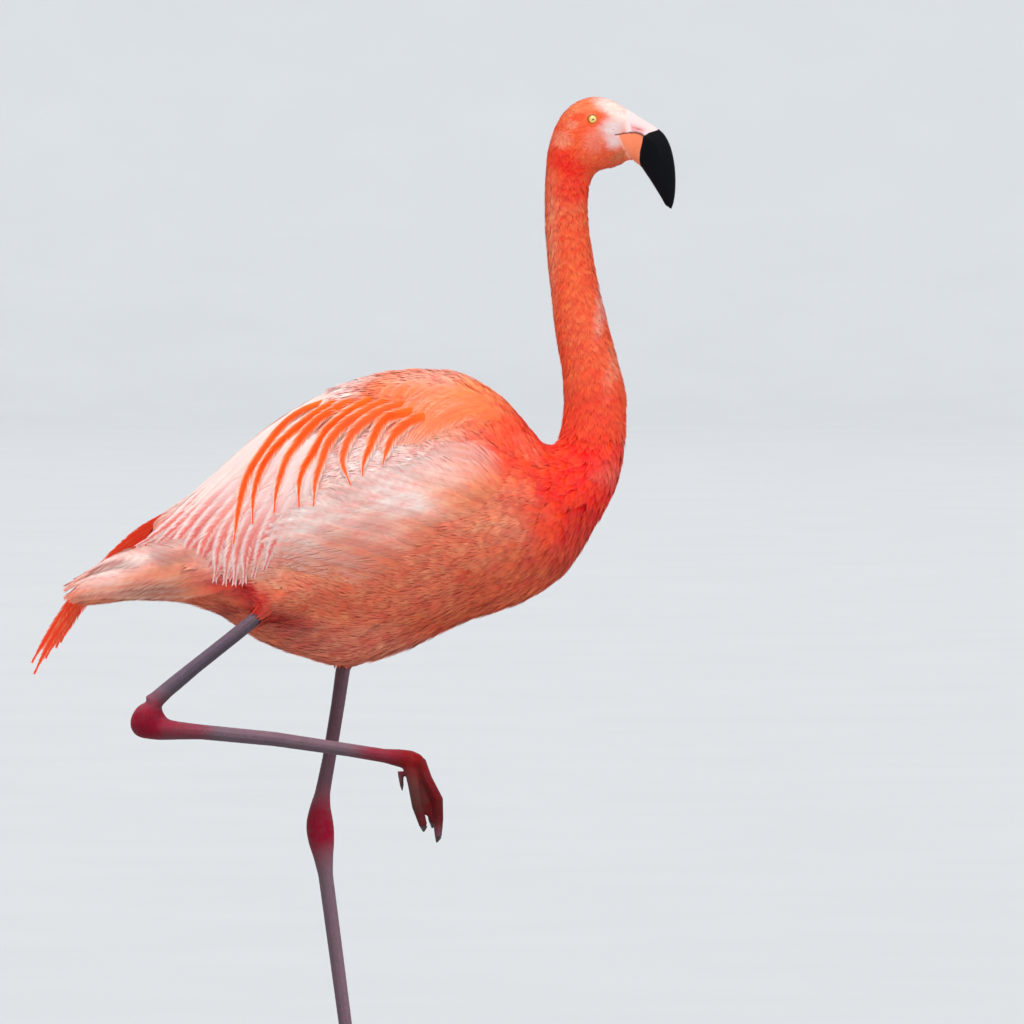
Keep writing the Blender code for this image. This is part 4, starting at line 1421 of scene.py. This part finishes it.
FANS = {
    "tail": Fan(
        9,
        Vane(10.0, FLUFF, FLUSHED, 0.4, rise=4.6, layer=0.1, loose=0.5, bow=0.5, free=1.0, local=0.8),
        (
            ((-150, 505), (-200, 500), (-250, 497), (-290, 494), (-312, 488)),
            ((-160, 520), (-206, 515), (-252, 510), (-292, 502), (-318, 490)),
            ((-170, 534), (-212, 530), (-252, 524), (-290, 512), (-318, 498)),
            ((-180, 545), (-216, 540), (-250, 532), (-280, 522), (-306, 508)),
        ),
    ),
    "rear_low": Fan(
        8,
        Vane(12.5, FLUFF, BLUSH, 0.6, rise=2.2, layer=0.08, bow=0.4, base=SHELL, tip=RASPBERRY),
        (
            ((-60, 668), (-128, 622), (-190, 568), (-218, 546), (-244, 529)),
            ((-70, 650), (-120, 600), (-160, 556), (-178, 534), (-192, 518)),
            ((-80, 630), (-110, 590), (-134, 552), (-142, 530), (-150, 508)),
        ),
    ),
    "rear": Fan(
        11,
        Vane(12.0, SHELL, SHELL, 0.5, rise=3.0, layer=0.05, bow=0.4, base=SHELL, tip=RASPBERRY),
        (
            ((-50, 684), (-132, 634), (-184, 590), (-218, 562), (-250, 539)),
            ((-56, 680), (-128, 630), (-176, 586), (-207, 556), (-234, 531)),
            ((-64, 676), (-128, 620), (-168, 578), (-192, 550), (-206, 522)),
            ((-66, 674), (-118, 614), (-150, 576), (-170, 546), (-176, 510)),
            ((-60, 672), (-108, 610), (-138, 574), (-153, 542), (-160, 506)),
            ((-50, 668), (-98, 612), (-126, 570), (-140, 540), (-146, 511)),
            ((-40, 660), (-82, 610), (-106, 572), (-120, 544), (-128, 522)),
        ),
    ),
    "streaked": Fan(
        8,
        Vane(8.2, SHELL, STREAK, 0.88, rise=5.2, layer=0.08, bow=0.5, base=ORANGE, rim=PALE_ORANGE),
        (
            ((-40, 689), (-66, 681), (-100, 661), (-129, 631), (-145, 605), (-152, 578), (-157, 544)),
            ((-22, 691), (-50, 682), (-89, 658), (-119, 630), (-135, 603), (-138, 582), (-139, 564)),
            ((-8, 694), (-40, 682), (-78, 658), (-103, 628), (-114, 604), (-117, 588), (-118, 574)),
            ((4, 692), (-28, 677), (-62, 656), (-82, 632), (-92, 610), (-94, 596), (-94, 580)),
            ((16, 688), (-14, 675), (-43, 662), (-65, 641), (-75, 616), (-79, 602), (-80, 582)),
            ((26, 682), (0, 673), (-26, 664), (-45, 646), (-53, 624), (-50, 612), (-46, 600)),
            ((32, 674), (10, 668), (-12, 660), (-26, 641), (-31, 628), (-33, 620), (-34, 610)),
            ((38, 666), (20, 662), (2, 654), (-8, 640), (-12, 632), (-14, 626), (-15, 620)),
        ),
    ),
    "ridge": Fan(
        5,
        Vane(9.0, SHELL, CREAM, 0.4, rise=3.6, layer=0.1, bow=0.4, base=AMBER),
        (
            ((20, 706), (-36, 697), (-94, 672), (-154, 624), (-210, 578)),
            ((10, 702), (-38, 691), (-94, 663), (-146, 616), (-198, 569)),
        ),
    ),
    "mantle": Fan(
        18,
        Vane(10.0, PALE_GOLD, TANGERINE, 0.8, rise=4.4, layer=0.03, loose=0.4, bow=0.5, free=-1.6, local=0.4),
        (
            ((22, 704), (-8, 690), (-18, 668), (-22, 648), (-26, 634)),
            ((48, 703), (18, 692), (0, 670), (-6, 650), (-10, 636)),
            ((72, 696), (42, 686), (18, 670), (6, 652), (0, 638)),
            ((92, 682), (62, 677), (38, 666), (22, 650), (12, 640)),
            ((106, 662), (78, 664), (54, 658), (36, 648), (24, 638)),
        ),
    ),
    "flank": Fan(
        20,
        Vane(14.0, FLUFF, FLUSHED, 0.55, rise=4.8, layer=0.05, loose=0.4, bow=0.5, free=-1.6, local=0.85),
        (
            ((4, 506), (-38, 516), (-80, 524), (-106, 530), (-126, 524)),
            ((24, 520), (-20, 536), (-66, 548), (-100, 556), (-132, 548)),
            ((40, 546), (-4, 560), (-50, 570), (-88, 577), (-114, 574)),
            ((60, 560), (18, 578), (-26, 588), (-56, 597), (-72, 598)),
            ((86, 572), (52, 590), (14, 600), (-16, 610), (-38, 610)),
            ((100, 588), (70, 604), (40, 612), (18, 616), (0, 615)),
            ((112, 606), (86, 622), (62, 631), (42, 633), (24, 634)),
        ),
    ),
}


def length_of(path):
    return np.linalg.norm(np.diff(path, axis=0), axis=1).sum()


def curve_through(path, step):
    """Points about step apart on a smooth curve through the path."""
    count = max(int(length_of(path) / step), 8)
    dense = np.array(smooth_rows(path, steps=16))
    steps = np.linalg.norm(np.diff(dense, axis=0), axis=1)
    run = np.concatenate([[0], np.cumsum(steps)])
    even = np.linspace(0, run[-1], count)
    return np.stack([np.interp(even, run, row) for row in dense.T], axis=1)


RAY_START = 0.3  # metres to the side, beyond the body
NEAR_MIDDLE = 0.012  # where a ray that misses the body looks for it


class Surface:
    """The skin as something to lay feathers on."""

    def __init__(self, obj):
        self.tree = BVHTree.FromObject(obj, bpy.context.evaluated_depsgraph_get())

    def beside(self, x, z, side):
        """The place on the skin seen from that side at x and z."""
        hit, *_ = self.tree.ray_cast(Vector((x * MM, RAY_START * side, z * MM)), Vector((0, -side, 0)))
        if hit is None:
            hit, *_ = self.tree.find_nearest(Vector((x * MM, NEAR_MIDDLE * side, z * MM)))
        return np.array((x, hit.y / MM, z))

    def way_up(self, point):
        """The way out of the skin at the place nearest the point."""
        _, normal, *_ = self.tree.find_nearest(Vector(point * MM))
        return np.array(normal)


BARB_SPACING = 1.2  # in millimetres
BARB_TILT = 0.16  # how far one side of a barb stands over the next barb's
SHAFT_RISE = 0.3  # of the shaft over the barbs
ROOT_DEPTH = 1.0  # of a feather's root in the skin
BODY_ROUNDNESS = 120.0  # twice the radius that the vanes bend round


class PlumeMesh:
    """Long feathers gathered into one mesh."""

    def __init__(self):
        self.points, self.ways_up, self.faces, self.colours = [], [], [], []
        self.roots, self.patches, self.chances, self.local = [], [], [], []

    def add(self, spine, ups, vane, layer, rng):
        """One feather along the spine's points, with ups as the ways out of the body."""
        along = unit(np.gradient(spine, axis=0))
        ups = unit(ups - along * np.sum(ups * along, axis=1, keepdims=True))
        across = unit(np.cross(ups, along))
        form = (spine, ups, across, vane)
        chance = rng.uniform()
        self.base = np.array(plumage(spine[:1])[0] if vane.base is None else vane.base)
        self.shaft(form, layer + SHAFT_RISE, chance)
        self.barbs(form, layer, chance, rng)

    def put(self, form, layer, t, share, offset, chance, jitter, tilt=0.0):
        """Adds the vertices at t along the feather, offset to the side, and gives the first one's number."""
        spine, ups, across, vane = form
        last = len(spine) - 1
        at = np.clip(t, 0, 1) * last
        i = np.minimum(at.astype(int), last - 1)
        f = (at - i)[:, None]

        def here(rows):
            return rows[i] * (1 - f) + rows[i + 1] * f

        over = np.maximum(t - 1, 0)[:, None] * (spine[-1] - spine[-2]) * last
        height = vane.rise + layer + vane.bow * (1 - share * share) + vane.free * smoothstep(0.6, 1.1, t)
        up = here(ups)
        height *= 1 - 0.5 * smoothstep(0.45, 0.9, up[:, 2])
        height -= offset**2 / BODY_ROUNDNESS
        height = (height + ROOT_DEPTH) * smoothstep(-0.06, 0.28, t) - ROOT_DEPTH + tilt
        first = sum(len(points) for points in self.points)
        self.points.append(here(spine) + here(across) * offset[:, None] + over + up * height[:, None])
        self.ways_up.append(up)
        self.roots.append(np.tile(spine[0], (len(t), 1)))
        self.patches.append(np.stack([np.minimum(t, 1), 0.5 + 0.5 * np.sign(offset) * share], axis=1))
        self.chances.append(np.full(len(t), chance))
        self.colours.append(self.colour(vane, t, share, chance, jitter))
        pale = 0.45 * share**1.5 * smoothstep(0.1, 0.6, t)
        self.local.append(np.stack([np.full(len(t), vane.local), pale, np.full(len(t), 0.9 + 0.16 * chance)]))
        return first

    def colour(self, vane, t, share, chance, jitter):
        """The colours at t along the feather and share of the way out to its edge."""
        late = smoothstep(0.45, 0.85, t)[:, None]
        root = (1 - smoothstep(0.05, 0.45, t))[:, None]
        streak = jitter * vane.streak * np.interp(t, (0.0, 0.25, 0.6, 0.95), (1.5, 1.15, 0.85, 0.6))
        core = (1 - smoothstep(streak * 0.6, streak * 1.3 + 0.05, share))[:, None]
        rich = np.array(vane.core) * (1, 1 - 0.4 * chance**2, 1 - 0.4 * chance**2)
        if vane.rim is not None:
            outer = np.minimum(0.9 * smoothstep(0.3, 0.95, share / streak) + 0.25 * (1 - chance), 1)[:, None]
            rich = mixed(rich, vane.rim, outer)
        if vane.tip is not None:
            rich = mixed(rich, vane.tip, late)
        colour = mixed(np.array(vane.edge), rich, core)
        return mixed(colour, self.base, root) * (0.94 + 0.12 * chance)

    def shaft(self, form, layer, chance):
        """The feather's thin midrib."""
        count = max(len(form[0]) // 2, 6)
        t = np.repeat(np.linspace(0, 1, count + 1), 2)
        half = (0.5 * (1 - t) + 0.12) * np.tile([-1, 1], count + 1)
        first = self.put(form, layer, t, np.zeros(len(t)), half, chance, 1.0)
        for a in range(first, first + 2 * count, 2):
            self.faces.append((a, a + 2, a + 3, a + 1))

    def barbs(self, form, layer, chance, rng):
        """The feather's barbs, swept towards its tip on both sides of the shaft."""
        vane = form[3]
        length = length_of(form[0])
        count = int(length / BARB_SPACING)
        start = np.repeat((np.arange(count) + 0.5) / count, 2)
        side = np.tile([-1.0, 1.0], count)
        ragged = 1 - vane.loose * rng.uniform(size=2 * count) * (0.4 + 0.6 * start)
        sweep = 1.5 + vane.loose * rng.uniform(0, 1.2, 2 * count)
        jitter = rng.uniform(0.7, 1.3, 2 * count)
        at = np.minimum(start + 0.5 * sweep * vane.width / length, 0.98)
        reach = vane.width * np.minimum(1.0, 0.35 + 2.2 * at) * np.maximum(1 - at**4, 0) ** 0.6
        f = np.array([0, 0, 1, 1, 2, 2, 3]) / 3
        ends = np.array([-1, 1, -1, 1, -1, 1, 0]) * BARB_SPACING * (1 - 0.3 * f) / length
        t = start[:, None] + (sweep * reach)[:, None] * f**1.4 / length + ends
        offset = (side * reach * ragged)[:, None] * f**0.85
        share = ragged[:, None] * f
        tilt = np.tile(BARB_TILT * np.array([1, -1, 1, -1, 1, -1, 0]), 2 * count)
        jitter = np.repeat(jitter, 7)
        first = self.put(form, layer, t.ravel(), share.ravel(), offset.ravel(), chance, jitter, tilt)
        for i in range(2 * count):
            b = first + 7 * i
            for face in ((b, b + 1, b + 3, b + 2), (b + 2, b + 3, b + 5, b + 4), (b + 4, b + 5, b + 6)):
                self.faces.append(face if side[i] > 0 else face[::-1])

    def object(self, name):
        """The feathers as one object, with its colours and its UV map."""
        mesh = bpy.data.meshes.new(name)
        points = np.concatenate(self.points)
        mesh.from_pydata((points * MM).tolist(), [], self.faces)
        share, pale, bright = np.concatenate(self.local, axis=1)[:, :, None]
        body = mixed(plumage(points) * bright, SHELL, pale)
        colours = mixed(np.concatenate(self.colours), body, share)
        store(mesh, "tint", "FLOAT_COLOR", np.clip(colours, 0, 1))
        store(mesh, "chance", "FLOAT", np.concatenate(self.chances))
        root_map(mesh, np.concatenate(self.roots), np.concatenate(self.patches))
        mesh.shade_smooth()
        softened(mesh, unit(np.concatenate(self.ways_up)), share=0.5)
        return add_object(name, mesh)


def blended(paths, share):
    """The path at share of the way from the first of the paths to the last."""
    at = share * (len(paths) - 1)
    i = min(int(at), len(paths) - 2)
    first, second = np.array(paths[i], float), np.array(paths[i + 1], float)
    return first + (second - first) * (at - i)


def chain(count):
    """The pairs of neighbours along a row of points."""
    return np.stack([np.arange(count - 1), np.arange(1, count)], axis=1)


SLOPE = 1.4  # millimetres inwards from one point of a feather to the next
TAUT_ROUNDS = 60


def taut(spine, side):
    """The spine pulled straight over the hollows of the body, falling inwards no faster than SLOPE."""
    spine = spine.copy()
    out = spine[:, 1] * side
    for k in range(1, len(out)):
        out[k] = max(out[k], out[k - 1] - SLOPE)
    for _ in range(TAUT_ROUNDS):
        out[1:-1] = np.maximum(out[1:-1], (out[:-2] + out[2:]) / 2)
    spine[:, 1] = out * side
    inner = np.concatenate([[0], np.full(len(spine) - 2, 0.5), [0]])
    return relaxed(spine, chain(len(spine)), inner, rounds=2)


TAIL_START = -240  # along X
# Where each leg leaves the body: the garter's top, a place further down the leg, and the feathers' reach
LEG_TOPS = {
    -1: ((-127, -58.8, 480.5), (-162, -57.5, 452.5), 26),
    1: ((-54.0, 35.7, 429), (-60, 31, 386), 14),
}


def ways_out(surface, spine, side):
    """The ways out of the body along a feather, turned outwards where the body is steep, most at the tail."""
    ups = np.array([surface.way_up(p) for p in spine])
    inward = (ups[:, 1] * side < 0) & (ups[:, 2] < 0.5)
    ups[inward] = (0, side, 0)
    ups = relaxed(ups, chain(len(ups)), 0.5, rounds=6)
    steep = 1 - np.clip(ups[:, 2], 0, 1)
    ups[:, 1] += np.where(spine[:, 0] < TAIL_START, 1.3, 0.6) * side * steep
    return unit(ups)


def make_plumes(name, surface, side, seed):
    """All the long feathers on one side of the body."""
    rng = np.random.default_rng(seed)
    plumes = PlumeMesh()
    for fan in FANS.values():
        for i in range(fan.count):
            path = blended(fan.paths, i / (fan.count - 1))
            path = path + rng.normal(0, 1.2, path.shape) * np.linspace(1, 0.4, len(path))[:, None]
            flat = curve_through(path, step=3.5)
            spine = taut(np.array([surface.beside(x, z, side) for x, z in flat]), side)
            border = 2.2 * (1 - smoothstep(0, 3, min(i, fan.count - 1 - i))) * (fan.vane.local > 0)
            layer = fan.vane.layer * i - border
            plumes.add(spine, ways_out(surface, spine, side), fan.vane, layer, rng)
    top, foot, reach = LEG_TOPS[side]
    add_garter(plumes, top, foot, reach, rng)
    return plumes.object(name)


GARTER = Vane(3.2, PEACH, SALMON, 0.4, rise=0.4, layer=0.0, loose=0.5, bow=0.3)
GARTER_COUNT = 16


def add_garter(plumes, top, foot, reach, rng):
    """Short feathers round the leg where it leaves the body, from top down towards foot, up to reach long."""
    top, foot = np.array(top, float), np.array(foot, float)
    axis = (foot - top) / np.linalg.norm(foot - top)
    first = unit(np.cross(axis, np.array((0.0, 1.0, 0.0)))[None])[0]
    second = np.cross(axis, first)
    for i in range(GARTER_COUNT):
        turn = math.tau * (i + rng.uniform(-0.2, 0.2)) / GARTER_COUNT
        out = first * math.cos(turn) + second * math.sin(turn)
        length = rng.uniform(0.3, 0.8) * reach
        rows = [(-9.0, 12.5), (-2.0, 11.0), (0.35 * length, 9.0), (0.7 * length, 7.9), (length, 7.7)]
        dense = np.array(smooth_rows(rows, steps=2))
        spine = top + dense[:, :1] * axis + dense[:, 1:] * out
        ups = np.tile(out[None], (len(spine), 1))
        tint = tuple(plumage(spine[:1])[0])
        shade = GARTER._replace(edge=tint, core=tint, base=tint)
        plumes.add(spine, ups, shade, rng.uniform(0, 0.6), rng)


RED_VANE = Vane(7.0, HOT_CORAL, HOT_RED, 0.75, rise=0.0, layer=0.0, loose=0.3, bow=0.6, base=HOT_RED)
RED_PLUMES = (
    ((-196, 580), (-240, 557), (-266, 538), (-292, 512), (-312, 490), (-330, 466), (-346, 441), (-354, 427)),
    ((-196, 572), (-240, 552), (-264, 535), (-290, 509), (-310, 487), (-327, 462), (-342, 436), (-352, 416)),
    ((-196, 566), (-238, 549), (-262, 532), (-288, 507), (-308, 485), (-323, 462), (-335, 442), (-341, 431)),
    ((-194, 560), (-236, 546), (-258, 530), (-284, 505), (-304, 484), (-317, 464), (-327, 446)),
    ((-260, 533), (-290, 504), (-312, 482), (-325, 456), (-331, 441)),
    ((-192, 586), (-226, 567), (-252, 550), (-278, 526), (-300, 503), (-318, 482), (-334, 458), (-345, 440)),
)
# How far out the red feathers lie: x and y
RED_SIDES = ((-200, 18), (-239, 22), (-262, 31), (-285, 38), (-303, 40), (-320, 38), (-340, 36), (-357, 34))


def make_red_plumes(name, seed):
    """The long red feathers of the left wing, which pass behind the tail and hang beyond it."""
    rng = np.random.default_rng(seed)
    plumes = PlumeMesh()
    marks = np.array(RED_SIDES, float)[::-1]
    for i, path in enumerate(RED_PLUMES):
        flat = curve_through(path, step=4)
        out = np.interp(flat[:, 0], marks[:, 0], marks[:, 1]) + 1.6 * (i - 2.5)
        spine = np.stack([flat[:, 0], out, flat[:, 1]], axis=1)
        ups = unit(np.tile(np.array([[-0.25, 1.0, 0.35]]), (len(spine), 1)))
        plumes.add(spine, ups, RED_VANE, 0.0, rng)
    return plumes.object(name)


# Finishes -----------------------------------------------------------------------------------------------


def feather_finish(tree):
    colour = tree.attribute("tint", "Color")
    chance = tree.attribute("chance")
    flecks = tree.noise(260, detail=3.0, roughness=0.6)
    mottle = tree.noise(70, stretch=(1.0, 1.0, 0.5))
    shade = 0.90 + 0.10 * flecks + 0.10 * mottle
    colour = tree.tuned(colour, hue=0.494 + 0.006 * chance + 0.008 * mottle, value=shade)
    return {"Base Color": colour, "Roughness": 0.8, "Specular IOR Level": 0.06}


def skin_finish(tree):
    colour = tree.attribute("tint", "Color")
    wrinkles = tree.noise(520, detail=3.0, roughness=0.55, stretch=(1.0, 1.0, 2.2))
    pores = tree.cells(1500, "F1")
    bare = 1 - 0.85 * tree.attribute("horn")
    colour = tree.tuned(colour, value=1.0 - bare * (0.10 - 0.14 * wrinkles))
    return {
        "Base Color": colour,
        "Roughness": 0.50 + 0.15 * wrinkles,
        "Specular IOR Level": 0.2,
        "Height": (bare * (wrinkles + 0.35 * pores), 0.35),
    }


def bill_finish(tree):
    black = tree.attribute("edge").step(-0.35, 0.35)
    colour = tree.mix(black, tree.attribute("tint", "Color"), BILL_BLACK)
    grain = tree.noise(900, detail=4.0, roughness=0.6, stretch=(1.0, 1.0, 0.25))
    growth = tree.noise(160, stretch=(1.0, 1.0, 1.8))
    colour = tree.tuned(colour, value=0.94 + 0.10 * growth)
    return {
        "Base Color": colour,
        "Roughness": 0.44 - 0.06 * black + 0.10 * grain,
        "Specular IOR Level": 0.12,
        "Height": (0.6 * grain + growth, 0.16),
    }


def eye_finish(tree):
    ring = tree.attribute("ring")
    rays = tree.noise(1400, detail=3.0, roughness=0.6)
    pupil = ring.step(PUPIL_RADIUS - 0.12, PUPIL_RADIUS + 0.12)
    edge = (ring + 0.5 * rays).step(IRIS_RADIUS - 0.5, IRIS_RADIUS + 0.5)
    iris = tree.mix(rays * 0.5, IRIS, IRIS_EDGE)
    iris = tree.mix(edge, iris, IRIS_EDGE)
    outer = ring.step(IRIS_RADIUS + 0.4, IRIS_RADIUS + 0.9)
    colour = tree.mix(pupil, PUPIL, tree.mix(outer, iris, LID_SHADE))
    return {"Base Color": colour, "Roughness": 0.18, "Coat Weight": 1.0, "Coat Roughness": 0.03}


def leg_finish(tree):
    colour = tree.attribute("tint", "Color")
    groove = tree.cells(430, "DISTANCE_TO_EDGE").step(0.0, 0.10)
    mottle = tree.noise(140, detail=4.0, roughness=0.6)
    shade = (0.80 + 0.10 * groove) * (0.78 + 0.45 * mottle)
    colour = tree.tuned(colour, saturation=0.9 + 0.2 * mottle, value=shade)
    return {
        "Base Color": colour,
        "Roughness": 0.50 + 0.12 * mottle,
        "Specular IOR Level": 0.15,
        "Height": (groove + 0.3 * mottle, 0.30),
    }


def claw_finish(tree):
    streaks = tree.noise(700, detail=3.0, roughness=0.6, stretch=(0.3, 1.0, 1.0))
    colour = tree.mix(streaks, linear(0.10, 0.07, 0.07), linear(0.30, 0.20, 0.18))
    return {"Base Color": colour, "Roughness": 0.30 + 0.2 * streaks, "Height": (streaks, 0.1)}


def floor_finish(tree):
    grain = tree.noise(3.0, detail=4.0)
    return {"Base Color": tree.mix(grain, (0.50, 0.52, 0.54), (0.54, 0.56, 0.58)), "Roughness": 0.8}


# Assembly -----------------------------------------------------------------------------------------------

FEATHERS = finish_material("feathers", feather_finish)
SKIN = finish_material("bare_skin", skin_finish)
HORN = finish_material("bill_horn", bill_finish)
EYE = finish_material("eye", eye_finish)
LEG = finish_material("scaled_leg", leg_finish)
CLAW = finish_material("claw_horn", claw_finish)


class Coat(NamedTuple):
    """One coat's tufts: how far apart they stand and how they are formed."""

    kind: str
    spacing: float
    height: float
    wander: float = 0.15


COAT_PLAN = {
    "head": Coat("down", 1.45, 1.0),
    "neck": Coat("neck", 2.1, 1.0),
    "breast": Coat("body", 4.2, 0.7),
    "mantle": Coat("body", 4.6, 0.8, 0.2),
    "flank_right": Coat("loose", 4.6, 0.6, 0.22),
    "flank_left": Coat("loose", 4.6, 0.6, 0.22),
    "rump": Coat("loose", 4.8, 0.4, 0.2),
    "tail": Coat("loose", 4.0, 0.6, 0.25),
}


def make_coats(skin):
    """Grows the short feathers, one piece for each coat, and clears away what made them."""
    nodes = coat_tree()
    tufts = {kind: tuft_collection(kind) for kind in TUFTS}
    for name, plan in COAT_PLAN.items():
        settings = {
            "Coat": COATS.index(name),
            "Spacing": plan.spacing * MM,
            "Tufts": tufts[plan.kind],
            "Height": plan.height,
            "Wander": plan.wander,
            "Seed": COATS.index(name) * 10,
        }
        coat = coloured(grown(skin, "coat_" + name, nodes, FEATHERS, settings))
        finished(coat, FEATHERS, "plumage_pink")
    for collection in tufts.values():
        for obj in list(collection.objects):
            bpy.data.objects.remove(obj)
        bpy.data.collections.remove(collection)
    bpy.data.node_groups.remove(nodes)


def dress_body():
    """Makes the skin with its coats and its long feathers."""
    skin = make_skin()
    lay_out(skin)
    make_coats(skin)
    surface = Surface(skin)
    for name, side in SIDES.items():
        plumes = make_plumes(f"plumes_{name}_side", surface, side, seed=40 + side)
        finished(plumes, FEATHERS, "plumage_orange")
    red_plumes = make_red_plumes("red_plumes_left", seed=77)
    finished(red_plumes, FEATHERS, "plumage_red", "plumes_left")
    for name in SKIN_FACTS:
        skin.data.attributes.remove(skin.data.attributes[name])
    finished(skin, SKIN, "plumage_pink", *FLESH)


dress_body()
for half, node in zip(bill_parts(), ("bill_upper", "bill_lower")):
    dress_bill(half, node == "bill_upper")
    finished(half, HORN, "bill", node)
for name, side in SIDES.items():
    finished(make_eye("eyeball_" + name, "eye_" + name, side), EYE, "eye", "eye_" + name)
    finished(make_leg(name), LEG, "leg_grey", *leg_nodes(name))
for node, obj in frame["nodes"].items():
    if node.startswith("claw_"):
        obj.data.materials.clear()
        obj.data.materials.append(CLAW)

# Floor, light and camera ----------------------------------------------------------------------------------

FLOOR_FLAT = 26.0  # metres
FLOOR_WALL = 5.0
FLOOR_SIDES = 96
FLOOR_STEPS = 12  # in the turn up to the wall


def floor_ring(bm, radius, height):
    turns = [math.tau * i / FLOOR_SIDES for i in range(FLOOR_SIDES)]
    return [bm.verts.new((radius * math.cos(turn), radius * math.sin(turn), height)) for turn in turns]


def make_floor():
    """A pale floor that turns up into a low wall far away, all round."""
    profile = [(3.0, 0.0), (FLOOR_FLAT, 0.0)]
    for step in range(1, FLOOR_STEPS + 1):
        turn = step / FLOOR_STEPS * math.pi / 2
        profile.append((FLOOR_FLAT + FLOOR_WALL * math.sin(turn), FLOOR_WALL * (1 - math.cos(turn))))
    bm = bmesh.new()
    rings = [floor_ring(bm, radius, height) for radius, height in profile]
    bm.faces.new(rings[0])
    for inner, outer in zip(rings, rings[1:]):
        for i in range(FLOOR_SIDES):
            j = (i + 1) % FLOOR_SIDES
            bm.faces.new((inner[i], outer[i], outer[j], inner[j]))
    mesh = bpy.data.meshes.new("floor")
    bm.to_mesh(mesh)
    bm.free()
    mesh.shade_smooth()
    mesh.materials.append(finish_material("pale_floor", floor_finish))
    return add_object("floor", mesh)


def soft_light(name, direction, strength, angle, colour):
    """A light as even as a clouded sky's, that shines the same on all of the floor."""
    light = bpy.data.lights.new(name, "SUN")
    light.energy = strength
    light.angle = math.radians(angle)
    light.color = colour
    add_object(name, light).rotation_euler = Vector(direction).to_track_quat("-Z", "Y").to_euler()


def light_sky(colour, strength):
    """An even sky."""
    world = bpy.data.worlds.new("studio")
    world.use_nodes = True
    sky = world.node_tree.nodes["Background"]
    sky.inputs["Color"].default_value = (*colour, 1)
    sky.inputs["Strength"].default_value = strength
    bpy.context.scene.world = world


FRAME_CENTRE = Vector((107.5, 0, 572.2)) * MM
FRAME_SIDE = 983.04 * MM
CAMERA_DISTANCE = 14.0
SENSOR = 36
CAMERA_RISE = math.radians(1.8)


def place_camera():
    """A far camera square to the bird's right side, which looks down on it a little."""
    lens = bpy.data.cameras.new("camera")
    lens.sensor_width = SENSOR
    lens.lens = SENSOR * CAMERA_DISTANCE / FRAME_SIDE
    lens.clip_end = 200
    camera = add_object("camera", lens)
    back = Vector((0, -math.cos(CAMERA_RISE), math.sin(CAMERA_RISE)))
    camera.location = FRAME_CENTRE + back * CAMERA_DISTANCE
    camera.rotation_euler = (-back).to_track_quat("-Z", "Y").to_euler()
    bpy.context.scene.camera = camera


make_floor()
soft_light("key", (0.15, 0.8, -1.25), strength=1.95, angle=60, colour=(1.0, 0.985, 0.96))
soft_light("fill", (-0.8, 1.0, -0.45), strength=0.95, angle=80, colour=(0.95, 0.97, 1.0))
soft_light("back", (0.3, -1.0, -0.9), strength=1.0, angle=60, colour=(1.0, 0.99, 0.97))
light_sky((0.93, 0.96, 1.0), strength=0.55)
place_camera()
bpy.context.scene.view_settings.view_transform = "Standard"
